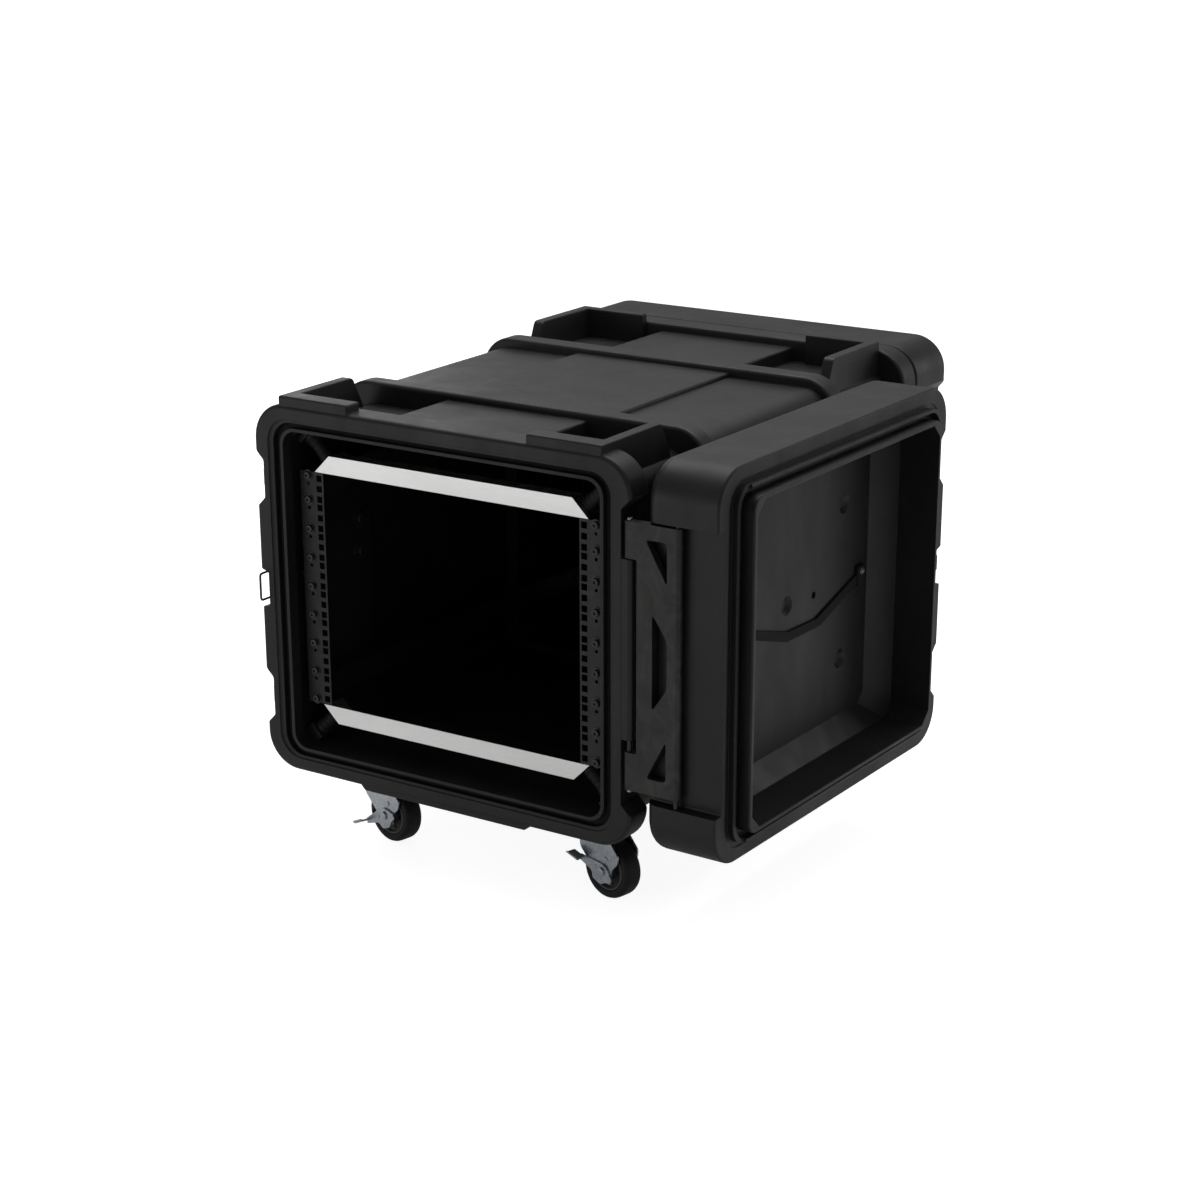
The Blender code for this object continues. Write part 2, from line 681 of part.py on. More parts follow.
def make_closure(end, turned):
    """Lid, link, pins, seal, keepers, latch bolts and bail of one end."""
    pieces = {}
    pieces["hinge_link"] = (make_link(), "link_black", "link")
    pieces["lid"] = (make_lid(), "moulded_black", "lid")
    pieces["gasket"] = (make_gasket(), "seal_black", None)
    link_middle = (LINK_TOP + LINK_BOTTOM) / 2
    body_pin = rod((PIN_X, BODY_PIN_Y, link_middle), PIN_RADIUS, LINK_TOP - LINK_BOTTOM + 8)
    pieces["body_hinge_pin"] = (body_pin, "zinc_steel", None)
    lid_pin = rod((PIN_X, LID_PIN_Y, MIDDLE), PIN_RADIUS, 424)
    pieces["lid_hinge_pin"] = (lid_pin, "zinc_steel", "lid")
    for label, height in zip(("upper", "lower"), LATCH_HEIGHTS):
        pieces[label + "_keeper"] = (make_keeper(height), "rack_steel", None)
        pieces[label + "_latch"] = (make_latch(height), "moulded_black", label)
    pieces["bail"] = (make_bail(), "rack_steel", "bail")
    side = -1 if turned else 1
    places = {
        "link": (side * PIN_X, side * BODY_PIN_Y, MIDDLE),
        "lid": (side * PIN_X, side * LID_PIN_Y, MIDDLE),
        "upper": (-side * RECESS_HALF, side * FRONT, LATCH_HEIGHTS[0]),
        "lower": (-side * RECESS_HALF, side * FRONT, LATCH_HEIGHTS[1]),
        "bail": (side * BAIL_AXIS_X, side * behind(BAIL_AXIS_IN), sum(BAIL_ZONE) / 2),
    }
    empties = {"link": pivot(end + "_link_axis", places["link"])}
    empties["lid"] = pivot(end + "_lid_axis", places["lid"], empties["link"])
    for label in ("upper", "lower"):
        empties[label] = pivot(f"{end}_{label}_latch_axis", places[label], empties["lid"])
    empties["bail"] = pivot(end + "_bail_axis", places["bail"])
    for label, (solid, material, carrier) in pieces.items():
        if turned:
            half_turn(solid)
        finish(solid, f"{end}_{label}", material)
        if carrier:
            hang(solid, empties[carrier])
    return empties


# ---- rack frame ----

def make_rail(side):
    """A front rack rail: a face with square holes and bolt heads, and a side flange."""
    x = sorted((side * RAIL_INNER, side * RAIL_OUTER))
    rail = block(x, (RAIL_PLANE, RAIL_PLANE + SHEET), (RAIL_BOTTOM, RAIL_TOP))
    flange = sorted((side * (RAIL_OUTER - SHEET), side * RAIL_OUTER))
    join(rail, block(flange, (RAIL_PLANE + 0.5, RAIL_PLANE + 40), (RAIL_BOTTOM, RAIL_TOP)))
    half = HOLE_SIZE / 2
    holes = []
    for unit in range(UNITS):
        for offset in (0.0, 15.875, 31.75):
            z = LOWEST_HOLE + unit * RACK_UNIT + offset
            holes.append(cube_shape((side * HOLE_COLUMN - half, side * HOLE_COLUMN + half),
                                    (RAIL_PLANE - 5, RAIL_PLANE + 8), (z - half, z + half)))
    cut(rail, merged(holes))
    for place in range(UNITS + 1):
        z = LOWEST_HOLE + place * RACK_UNIT - 2.0
        z = min(z, RAIL_TOP - 6.0)
        join(rail, rod((side * BOLT_COLUMN, RAIL_PLANE - 0.5, z), 4.5, 5.0, "Y", steps=6))
    return rail


def merged(shapes):
    """Several separate closed shapes as one cutter."""
    total = bmesh.new()
    for shape in shapes:
        piece = bpy.data.meshes.new("piece")
        shape.to_mesh(piece)
        shape.free()
        total.from_mesh(piece)
        bpy.data.meshes.remove(piece)
    return mesh_object("cutter", total)


def make_bar(top):
    """A cross bar with mitred ends, a rear flange and slanted end tabs."""
    inner = RAIL_TOP + GAP if top else RAIL_BOTTOM - GAP
    outer = inner + BAR_HEIGHT if top else inner - BAR_HEIGHT
    short = BAR_LONG_HALF - BAR_HEIGHT
    outline = [(-BAR_LONG_HALF, inner), (BAR_LONG_HALF, inner), (short, outer), (-short, outer)]
    bar = plate([outline], "XZ", (RAIL_PLANE, RAIL_PLANE + SHEET))
    flange_z = sorted((outer, outer - SHEET if top else outer + SHEET))
    join(bar, block((-short + 1, short - 1), (RAIL_PLANE + 0.5, RAIL_PLANE + 26), flange_z))
    for side in (-1, 1):
        tab = block((-BAR_HEIGHT * 0.6, BAR_HEIGHT * 0.6), (RAIL_PLANE + 0.5, RAIL_PLANE + 42),
                    (-SHEET, 0.0))
        place_diagonal(tab, side, top, 0.0)
        join(bar, tab)
    return bar


def make_beam(side, top):
    """A depth beam from the front rails to the rear rails."""
    x = sorted((side * (RAIL_OUTER - SHEET - GAP), side * (RAIL_OUTER - SHEET - GAP - BEAM_DEPTH)))
    z = (RAIL_TOP - 1 - BEAM_HEIGHT, RAIL_TOP - 1) if top else (RAIL_BOTTOM + 1,
                                                               RAIL_BOTTOM + 1 + BEAM_HEIGHT)
    ends = RAIL_PLANE + SHEET + GAP
    beam = block(x, (ends, -ends), z)
    hollow_x = sorted((side * (RAIL_OUTER - SHEET - 3), side * (RAIL_OUTER - SHEET - BEAM_DEPTH - 2)))
    hollow = block((min(hollow_x) + 4.0, max(hollow_x) + 30.0) if side > 0 else
                   (min(hollow_x) - 30.0, max(hollow_x) - 4.0),
                   (ends + 45, -ends - 45), (z[0] + 3, z[1] - 3))
    return cut(beam, hollow)


def make_shock_mount(side, top):
    """A waisted rubber mount between two steel end plates."""
    y = RAIL_PLANE + 22.0
    start = 0.5
    end = 48.0 - GAP
    profile = [(MOUNT_RADIUS - 1, start), (MOUNT_RADIUS - 1, start + 3),
               (MOUNT_RADIUS - 4, (start + end) / 2), (MOUNT_RADIUS - 1, end - 3),
               (MOUNT_RADIUS - 1, end)]
    shape = bmesh.new()
    steps = 12
    rings = []
    for radius, height in profile:
        ring = []
        for step in range(steps):
            angle = 2 * math.pi * step / steps
            ring.append(shape.verts.new((radius * math.cos(angle), y + radius * math.sin(angle),
                                         height)))
        rings.append(ring)
    for low, high in zip(rings, rings[1:]):
        for step in range(steps):
            after = (step + 1) % steps
            shape.faces.new((low[step], low[after], high[after], high[step]))
    shape.faces.new(rings[0])
    shape.faces.new(rings[-1])
    mount = mesh_object("mount", shape)
    place_diagonal(mount, side, top, 0.0)
    return mount


def make_rack_frame():
    for end in ("front", "rear"):
        turned = end == "rear"
        for label, side in (("left", -1), ("right", 1)):
            made_side = -side if turned else side
            rail = make_rail(made_side)
            if turned:
                half_turn(rail)
            finish(rail, f"{end}_{label}_rail", "rack_steel")
        for label, top in (("top", True), ("bottom", False)):
            bar = make_bar(top)
            if turned:
                half_turn(bar)
            finish(bar, f"{end}_{label}_bar", "bar_aluminium")
        for label, top in (("upper", True), ("lower", False)):
            for hand, side in (("left", -1), ("right", 1)):
                made_side = -side if turned else side
                mount = make_shock_mount(made_side, top)
                if turned:
                    half_turn(mount)
                finish(mount, f"{end}_{label}_{hand}_shock_mount", "mount_rubber")
    for label, top in (("upper", True), ("lower", False)):
        for hand, side in (("left", -1), ("right", 1)):
            finish(make_beam(side, top), f"{label}_{hand}_beam", "rack_steel")


# ---- casters, built with the kingpin on the Z axis and the wheel trailing along +X ----

def make_caster_plate():
    base = block((-47.0, 47.0), (-42.0, 42.0), (CASTER_TOP - 3.0, CASTER_TOP))
    return join(base, rod((0, 0, CASTER_TOP - 7.0), 24.0, 10.0, steps=20))


def make_fork():
    top = CASTER_TOP - 12.0 - GAP
    crown = rod((0, 0, top - 2.0), 25.0, 4.0, steps=20)
    x, z = CASTER_TRAIL, WHEEL_RADIUS
    leg = [(-22.0, top - 1.0), (-19.0, z + 27.0), (x - 18.0, z - 2.0), (x - 9.0, z - 14.0),
           (x + 17.5, z - 13.0), (x + 19.0, z + 7.0), (x + 30.5, z + 17.0), (x + 32.0, z + 30.0),
           (30.0, top - 1.5)]
    for side in (-1, 1):
        faces = sorted((side * FORK_INNER, side * (FORK_INNER + FORK_THICKNESS)))
        join(crown, plate([leg], "XZ", faces))
    join(crown, block((-19.0, 17.0), (-FORK_INNER - 1, FORK_INNER + 1), (top - 5.0, top - 1.5)))
    join(crown, rod((x, 0, z), AXLE_RADIUS, 2 * AXLE_HALF, "Y"))
    return crown


def make_wheel():
    """A turned wheel: tyre with rounded shoulders, dished sides and a bored hub."""
    half = WHEEL_WIDTH / 2
    radius = WHEEL_RADIUS
    bore = AXLE_RADIUS + 0.35
    side = [(radius, half - 8), (radius - 2.5, half - 2.5), (radius - 8.0, half - 0.5),
            (radius - 14.0, half - 5.0), (15.0, half - 6.0), (13.0, half), (bore, half)]
    profile = [(r, -y) for r, y in reversed(side)] + side
    mesh = bpy.data.meshes.new("wheel")
    count = len(profile)
    edges = [(index, (index + 1) % count) for index in range(count)]
    points = [(r * MM, 0.0, y * MM) for r, y in reversed(profile)]
    mesh.from_pydata(points, edges, [])
    wheel = bpy.data.objects.new("wheel", mesh)
    bpy.data.collections[PARTS].objects.link(wheel)
    screw = wheel.modifiers.new("turn", "SCREW")
    screw.axis = "Z"
    screw.steps = 28
    screw.render_steps = 28
    screw.use_merge_vertices = True
    screw.merge_threshold = 0.00001
    graph = bpy.context.evaluated_depsgraph_get()
    wheel.data = bpy.data.meshes.new_from_object(wheel.evaluated_get(graph))
    wheel.modifiers.clear()
    face_outwards(wheel)
    wheel.data.transform(Matrix.Rotation(math.pi / 2, 4, "X"))
    wheel.data.transform(Matrix.Translation((CASTER_TRAIL * MM, 0, WHEEL_RADIUS * MM)))
    return wheel


def make_brake_pedal():
    """A level lever beside the outer fork leg, with two ears and a turned-out foot tab."""
    x, z = CASTER_TRAIL, WHEEL_RADIUS
    faces = (-FORK_INNER - FORK_THICKNESS - 3.2, -FORK_INNER - FORK_THICKNESS - 0.4)
    outline = [(x + 13, z - 12), (x + 23, z - 9), (x + 22.5, z - 1), (x + 12, z + 7),
               (x + 3, z + 13), (x - 11, z + 11.5), (x - 46, z + 4), (x - 46.5, z - 5),
               (x - 17, z - 8.5), (x - 13, z - 19), (x + 4, z - 21)]
    lever = plate([outline], "XZ", faces)
    tab = [(faces[1], z + 2.5), (faces[1] - 19, z + 2.5), (faces[1] - 19, z - 0.5),
           (faces[1], z - 0.5)]
    join(lever, plate([tab], "YZ", (x - 60, x - 38)))
    cut(lever, rod((x, 0, z), AXLE_RADIUS + 0.4, 90, "Y"))
    return lever


def make_caster(name, x, y, braked, pedal_turn):
    swivel = pivot(name + "_swivel_axis", (0, 0, 0))
    axle = pivot(name + "_axle", (CASTER_TRAIL, 0, WHEEL_RADIUS), swivel)
    plate_part = finish(make_caster_plate(), name + "_caster_plate", "zinc_steel")
    plate_part.location = Vector((x, y, 0)) * MM
    hang(finish(make_fork(), name + "_fork", "zinc_steel"), swivel)
    hang(finish(make_wheel(), name + "_wheel", "tyre_rubber"), axle)
    if braked:
        pedal_axis = pivot(name + "_pedal_axis", (CASTER_TRAIL, 0, WHEEL_RADIUS), swivel)
        hang(finish(make_brake_pedal(), name + "_brake_pedal", "zinc_steel"), pedal_axis)
        pedal_axis.rotation_euler.y = math.radians(pedal_turn)
    swivel.location = Vector((x, y, 0)) * MM
    swivel.rotation_euler.z = math.radians(CASTER_TURN)


def make_casters():
    rows = (("front", FRONT_CASTER_IN, True), ("rear", REAR_CASTER_IN, False))
    for end, depth, braked in rows:
        for label, side in (("left", -1), ("right", 1)):
            pedal_turn = PEDAL_PRESSED if side < 0 else PEDAL_RELEASED
            make_caster(f"{end}_{label}", side * CASTER_X, behind(depth), braked, pedal_turn)


# ---- side handles ----

def make_handle(side, depth):
    x = side * HANDLE_X
    y = behind(depth)
    low = HANDLE_Z - HANDLE_DROP
    points = [(x, y - 65, HANDLE_Z), (x, y - HANDLE_HALF - 4, HANDLE_Z),
              (x, y - HANDLE_HALF, HANDLE_Z - 4), (x, y - HANDLE_HALF, low + 9),
              (x, y - HANDLE_HALF + 3, low + 3), (x, y - HANDLE_HALF + 9, low),
              (x, y + HANDLE_HALF - 9, low), (x, y + HANDLE_HALF - 3, low + 3),
              (x, y + HANDLE_HALF, low + 9), (x, y + HANDLE_HALF, HANDLE_Z - 4),
              (x, y + HANDLE_HALF + 4, HANDLE_Z), (x, y + 65, HANDLE_Z)]
    return wire(points, HANDLE_WIRE)


def make_handles():
    for end, depth in zip(("front", "rear"), HANDLE_INS):
        for label, side in (("left", -1), ("right", 1)):
            name = f"{end}_{label}_handle"
            empty = pivot(name + "_axis", (side * HANDLE_X, behind(depth), HANDLE_Z))
            hang(finish(make_handle(side, depth), name, "link_black"), empty)


def stand_case():
    """Hang everything that has no parent on one empty, and put that at the stand."""
    loose = [piece for piece in bpy.data.collections[PARTS].objects if not piece.parent]
    stand = pivot("stand", (0, 0, 0))
    for piece in loose:
        piece.parent = stand
    stand.location = Vector(STAND) * MM


def main():
    clear_scene()
    new_collection(PARTS)
    make_materials()
    make_body_shell()
    front = make_closure("front", False)
    make_closure("rear", True)
    make_rack_frame()
    make_casters()
    make_handles()
    front["link"].rotation_euler.z = math.radians(90)
    front["lid"].rotation_euler.z = math.radians(LID_OPEN)
    for label in ("upper", "lower"):
        front[label].location.y -= BOLT_TRAVEL * MM
    stand_case()


main()
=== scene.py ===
"""Looks of the shock-mounted equipment rack case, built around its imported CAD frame.

Every piece is made in the frame's own coordinates. The numbers are millimetres, and the meshes
are metres. Hinged hardware is modelled shut at the front. It is then carried to its rest place,
and half a turn about Z gives the rear set. The front lid rests hung open beside the body.
"""
import math

import bmesh
import bpy
from mathutils import Matrix, Vector, noise

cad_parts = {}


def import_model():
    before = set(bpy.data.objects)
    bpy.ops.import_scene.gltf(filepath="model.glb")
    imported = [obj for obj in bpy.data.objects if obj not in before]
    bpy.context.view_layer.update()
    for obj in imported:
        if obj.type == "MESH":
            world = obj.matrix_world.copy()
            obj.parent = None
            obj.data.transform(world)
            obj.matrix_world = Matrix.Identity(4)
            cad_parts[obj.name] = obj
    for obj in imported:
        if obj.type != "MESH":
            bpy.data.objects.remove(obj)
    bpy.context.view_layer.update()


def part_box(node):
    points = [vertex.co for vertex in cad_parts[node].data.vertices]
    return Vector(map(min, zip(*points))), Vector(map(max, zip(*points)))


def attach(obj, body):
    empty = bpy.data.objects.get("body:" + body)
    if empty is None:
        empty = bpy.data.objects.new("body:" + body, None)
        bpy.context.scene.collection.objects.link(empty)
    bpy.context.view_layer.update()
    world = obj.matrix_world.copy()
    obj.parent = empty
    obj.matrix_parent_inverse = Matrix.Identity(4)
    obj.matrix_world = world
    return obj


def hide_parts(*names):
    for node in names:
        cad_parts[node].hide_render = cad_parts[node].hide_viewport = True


MM = 0.001

# Body, as in the CAD
FRONT = -428.0
BODY_DEPTH = 856.0
RING_HALF = 328.0
RING_BOTTOM = 129.5
RING_TOP = 697.0
RING_RADIUS = 55.0
RING_DEPTH = 47.0
MIDDLE = (RING_BOTTOM + RING_TOP) / 2
RECESS_HALF = 311.5
CORE_BOTTOM = 147.5
CORE_TOP = 679.0
NECK_HALF = 292.0
NECK_TOP = 661.0
RIB_HALF = 326.5
RIB_TOP = 695.0
RIB_BOTTOM = 131.5
PANEL_TOP = 684.0
CENTRE_PANEL_TOP = 686.0
CURB_TOP = 710.0
CASTER_TOP = 121.7

# Steps in the rim: half width, half height, corner radius
RIM_STEP = (302.0, 263.5, 38.0)
RIM_EDGE = (293.5, 258.5, 33.0)
GROOVE_INNER = (281.5, 250.5, 27.0)
APERTURE = (276.0, 245.5, 23.0)
TONGUE = (291.3, 256.9, 31.5)
TONGUE_INNER = (283.7, 251.9, 28.5)
LIP = (271.5, 242.5, 21.0)

# Lid and hinge
LID_PLANE = FRONT - 0.5
LID_BACK = FRONT - 116.5
LID_WALL = (264.5, 236.0)
LID_FLOOR = (214.0, 203.0)
LID_CORNER = 20.0
PIN_X = 321.0
BODY_PIN_Y = FRONT + 8.0
LID_PIN_Y = FRONT - 68.0
LINK_BOTTOM = 223.0
LINK_TOP = 612.0
TAB_LOW_TOP = 280.0
TAB_HIGH_BOTTOM = 559.0
LID_SWING = 178.85

# Latches and bail
LATCH_HEIGHTS = (583.5, 243.5)
LATCH_ZONES = ((553.0, 610.0), (212.0, 272.0))
NOTCH = (386.0, 438.0)
BOLT_HALF = 16.0
BOLT_TRAVEL = 28.0
BOLT_REACH = 24.0
BAIL_X = -318.0
BAIL_ZONE = (394.0, 438.5)

# Rack frame
RAIL_PLANE = FRONT + 30.0
SHEET = 2.5
RACK_UNIT = 44.45
UNITS = 8
HOLE_COLUMN = 232.55
BOLT_COLUMN = 252.4
LOWEST_HOLE = 243.0
RAIL_INNER = 224.5
RAIL_OUTER = 268.0
RAIL_BOTTOM = 234.0
RAIL_TOP = 595.0
BAR_HEIGHT = 27.0
BAR_LONG_HALF = 240.0

# Casters
CASTER_X = 199.5
WHEEL_RADIUS = 45.0
CASTER_TRAIL = 28.0
CASTER_TURN = -12.0
PEDAL_PRESSED = -25.0
PEDAL_RELEASED = 16.0

# Handles
HANDLE_INS = (125.0, 713.0)
HANDLE_X = 300.5
HANDLE_Z = 474.0

# Studio
SKY_LEVEL = 0.2
FLOOR_GLOW = 0.9
FLOOR_SHEEN = 0.15

PLANES = {
    "XZ": Matrix(((1, 0, 0), (0, 0, 1), (0, 1, 0))),
    "YZ": Matrix(((0, 0, 1), (1, 0, 0), (0, 1, 0))),
    "XY": Matrix.Identity(3),
}
HALF_TURN = Matrix.Rotation(math.pi, 4, "Z")


# ---- mesh helpers ----

def link_object(name, mesh):
    made = bpy.data.objects.new(name, mesh)
    bpy.context.scene.collection.objects.link(made)
    return made


def from_bmesh(name, shape):
    bmesh.ops.scale(shape, vec=(MM, MM, MM), verts=shape.verts)
    bmesh.ops.recalc_face_normals(shape, faces=shape.faces)
    mesh = bpy.data.meshes.new(name)
    shape.to_mesh(mesh)
    shape.free()
    return link_object(name, mesh)


def cube_shape(x, y, z):
    shape = bmesh.new()
    bmesh.ops.create_cube(shape, size=1.0)
    for vert in shape.verts:
        vert.co.x = x[0] if vert.co.x < 0 else x[1]
        vert.co.y = y[0] if vert.co.y < 0 else y[1]
        vert.co.z = z[0] if vert.co.z < 0 else z[1]
    return shape


def block(x, y, z, soft=0.0, steps=2, name="block"):
    """A block whose twelve edges are rounded when soft is given."""
    x, y, z = sorted(x), sorted(y), sorted(z)
    shape = cube_shape(x, y, z)
    if soft:
        bmesh.ops.bevel(shape, geom=list(shape.edges), offset=soft, segments=steps,
                        profile=0.5, affect="EDGES", clamp_overlap=True)
    return from_bmesh(name, shape)


def tunnel(half, z, y, radius, ends=(0.0, 0.0), steps=12, end_steps=4, name="tunnel"):
    """A block with rounded corners along Y, and rounded rims at its low and high Y ends."""
    shape = cube_shape((-half, half), y, z)
    long_edges = [e for e in shape.edges if abs(e.verts[0].co.y - e.verts[1].co.y) > 1.0]
    bmesh.ops.bevel(shape, geom=long_edges, offset=radius, segments=steps, profile=0.5,
                    affect="EDGES", clamp_overlap=False)
    for place, size in zip(y, ends):
        if size:
            rim = [e for e in shape.edges if all(abs(v.co.y - place) < 0.01 for v in e.verts)]
            bmesh.ops.bevel(shape, geom=rim, offset=size, segments=end_steps, profile=0.5,
                            affect="EDGES", clamp_overlap=False)
    return from_bmesh(name, shape)


def rim_tunnel(size, y, ends=(0.0, 0.0), steps=12, end_steps=3):
    half_width, half_height, radius = size
    z = (MIDDLE - half_height, MIDDLE + half_height)
    return tunnel(half_width, z, y, radius, ends, steps, end_steps)


def rod(centre, radius, length, axis="Z", steps=32, soft=0.0, name="rod"):
    """A cylinder about its centre, along X, Y or Z, with rounded ends when soft is given."""
    shape = bmesh.new()
    bmesh.ops.create_cone(shape, cap_ends=True, segments=steps, radius1=radius,
                          radius2=radius, depth=length)
    if soft:
        rims = [e for e in shape.edges if abs(e.verts[0].co.z - e.verts[1].co.z) < 0.001]
        bmesh.ops.bevel(shape, geom=rims, offset=soft, segments=3, profile=0.5,
                        affect="EDGES", clamp_overlap=True)
    turns = {"X": Matrix.Rotation(math.pi / 2, 3, "Y"), "Y": Matrix.Rotation(math.pi / 2, 3, "X"),
             "Z": Matrix.Identity(3)}
    bmesh.ops.rotate(shape, cent=(0, 0, 0), matrix=turns[axis], verts=shape.verts)
    bmesh.ops.translate(shape, vec=centre, verts=shape.verts)
    return from_bmesh(name, shape)


def turned(profile, steps=48, axis="Z", centre=(0, 0, 0), closed=False, name="turned"):
    """A profile of (radius, height) points, from one end to the other, turned about an axis."""
    shape = bmesh.new()
    rings = []
    for radius, height in profile:
        ring = []
        for step in range(steps):
            angle = 2 * math.pi * step / steps
            ring.append(shape.verts.new((radius * math.cos(angle), radius * math.sin(angle),
                                         height)))
        rings.append(ring)
    pairs = list(zip(rings, rings[1:]))
    if closed:
        pairs.append((rings[-1], rings[0]))
    for low, high in pairs:
        for step in range(steps):
            after = (step + 1) % steps
            shape.faces.new((low[step], low[after], high[after], high[step]))
    if not closed:
        shape.faces.new(rings[0])
        shape.faces.new(rings[-1])
    turns = {"X": Matrix.Rotation(math.pi / 2, 3, "Y"), "Y": Matrix.Rotation(-math.pi / 2, 3, "X"),
             "Z": Matrix.Identity(3)}
    bmesh.ops.rotate(shape, cent=(0, 0, 0), matrix=turns[axis], verts=shape.verts)
    bmesh.ops.translate(shape, vec=centre, verts=shape.verts)
    return from_bmesh(name, shape)


def rounded(points, radius, steps=5):
    """A closed outline with its corners rounded. A point may carry its own radius last."""
    path = []
    count = len(points)
    for index, point in enumerate(points):
        corner = Vector(point[:2])
        before = Vector(points[index - 1][:2]) - corner
        after = Vector(points[(index + 1) % count][:2]) - corner
        reach = min(radius if len(point) < 3 else point[2], before.length / 2.05,
                    after.length / 2.05)
        before.normalize()
        after.normalize()
        for step in range(steps + 1):
            share = step / steps
            start = corner + before * reach * (1 - share)
            end = corner + after * reach * share
            path.append(tuple(start * (1 - share) + end * share))
    return path


def plate(outlines, plane, span, soft=0.0, name="plate"):
    """Flat outlines, the first solid and the rest holes, extruded over span. soft rounds the
    edges around both flat faces."""
    curve = bpy.data.curves.new(name, "CURVE")
    curve.dimensions = "2D"
    curve.fill_mode = "BOTH"
    low, high = sorted(span)
    curve.extrude = (high - low) / 2 * MM
    for outline in outlines:
        spline = curve.splines.new("POLY")
        spline.points.add(len(outline) - 1)
        for point, place in zip(spline.points, outline):
            point.co = (place[0] * MM, place[1] * MM, 0.0, 1.0)
        spline.use_cyclic_u = True
    solid = outwards(bake(link_object(name, curve)))
    if soft:
        soften_faces(solid, soft)
    solid.data.transform(Matrix.Translation((0, 0, (low + high) / 2 * MM)))
    solid.data.transform(PLANES[plane].to_4x4())
    return outwards(solid)


def soften_faces(solid, size):
    """Rounds the edges around a plate's flat faces, if the result stays closed."""
    shape = bmesh.new()
    shape.from_mesh(solid.data)
    bmesh.ops.dissolve_limit(shape, angle_limit=math.radians(0.5), verts=shape.verts,
                             edges=shape.edges)
    shape.normal_update()
    rims = []
    for edge in shape.edges:
        if len(edge.link_faces) != 2:
            continue
        flat = [abs(face.normal.z) > 0.9 for face in edge.link_faces]
        if flat[0] != flat[1]:
            rims.append(edge)
    bmesh.ops.bevel(shape, geom=rims, offset=size * MM, segments=2, profile=0.5,
                    affect="EDGES", clamp_overlap=True)
    closed = all(len(edge.link_faces) == 2 for edge in shape.edges)
    if closed:
        shape.to_mesh(solid.data)
    shape.free()


def wire(points, radius, closed=False, sides=4, name="wire"):
    curve = bpy.data.curves.new(name, "CURVE")
    curve.dimensions = "3D"
    curve.bevel_depth = radius * MM
    curve.bevel_resolution = sides
    curve.use_fill_caps = True
    spline = curve.splines.new("POLY")
    spline.points.add(len(points) - 1)
    for point, place in zip(spline.points, points):
        point.co = (*(Vector(place) * MM), 1.0)
    spline.use_cyclic_u = closed
    return outwards(bake(link_object(name, curve)))


def bake(holder):
    """An object with its curve or its modifiers made into plain mesh."""
    graph = bpy.context.evaluated_depsgraph_get()
    mesh = bpy.data.meshes.new_from_object(holder.evaluated_get(graph))
    name = holder.name
    bpy.data.objects.remove(holder)
    return link_object(name, mesh)


def outwards(solid):
    shape = bmesh.new()
    shape.from_mesh(solid.data)
    bmesh.ops.remove_doubles(shape, verts=shape.verts, dist=0.000002)
    bmesh.ops.recalc_face_normals(shape, faces=shape.faces)
    shape.to_mesh(solid.data)
    shape.free()
    return solid


def combine(base, tools, operation):
    for tool in tools:
        modifier = base.modifiers.new("combine", "BOOLEAN")
        modifier.operation = operation
        modifier.solver = "EXACT"
        modifier.object = tool
        graph = bpy.context.evaluated_depsgraph_get()
        mesh = bpy.data.meshes.new_from_object(base.evaluated_get(graph))
        base.modifiers.clear()
        base.data = mesh
        bpy.data.objects.remove(tool)
    return base


def join(base, *tools):
    return combine(base, tools, "UNION")


def cut(base, *tools):
    return combine(base, tools, "DIFFERENCE")


def gather(name, pieces):
    """Separate solids as one object, without joining their skins."""
    total = bmesh.new()
    for piece in pieces:
        total.from_mesh(piece.data)
        bpy.data.objects.remove(piece)
    mesh = bpy.data.meshes.new(name)
    total.to_mesh(mesh)
    total.free()
    return link_object(name, mesh)


def moved(solid, matrix):
    solid.data.transform(matrix)
    if matrix.to_3x3().determinant() < 0:
        solid.data.flip_normals()
    return solid


def shifted(solid, offset):
    return moved(solid, Matrix.Translation(Vector(offset) * MM))


def turn_about(point, degrees, axis="Z"):
    place = Matrix.Translation(Vector(point) * MM)
    return place @ Matrix.Rotation(math.radians(degrees), 4, axis) @ place.inverted()


def copy_of(solid):
    return link_object(solid.name, solid.data.copy())


# ---- where the hinged pieces rest ----

LINK_REST = turn_about((PIN_X, BODY_PIN_Y, 0), 90.0)
LID_REST = LINK_REST @ turn_about((PIN_X, LID_PIN_Y, 0), LID_SWING)
REST = {
    ("front", "body"): Matrix.Identity(4),
    ("front", "link"): LINK_REST,
    ("front", "lid"): LID_REST,
    ("rear", "body"): HALF_TURN,
    ("rear", "link"): HALF_TURN,
    ("rear", "lid"): HALF_TURN,
}


def stand():
    """From the body's middle, where everything is made, to the body's place in the frame."""
    low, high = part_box("body_shell")
    middle = (low + high) / 2
    return Matrix.Translation((middle.x, middle.y, 0.0))


def finish(solid, name, material, body, replaced=(), angle=35.0, weighted=True):
    """Names, smooths and paints a piece, and puts it on its CAD body."""
    moved(solid, stand())
    solid.name = name
    solid.data.name = name
    solid.data.materials.clear()
    solid.data.materials.append(material)
    solid.data.shade_smooth()
    solid.data.set_sharp_from_angle(angle=math.radians(angle))
    if weighted:
        even = solid.modifiers.new("even_normals", "WEIGHTED_NORMAL")
        even.keep_sharp = True
        even.weight = 80
    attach(solid, body)
    if replaced:
        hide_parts(*replaced)
    return solid


# ---- materials ----

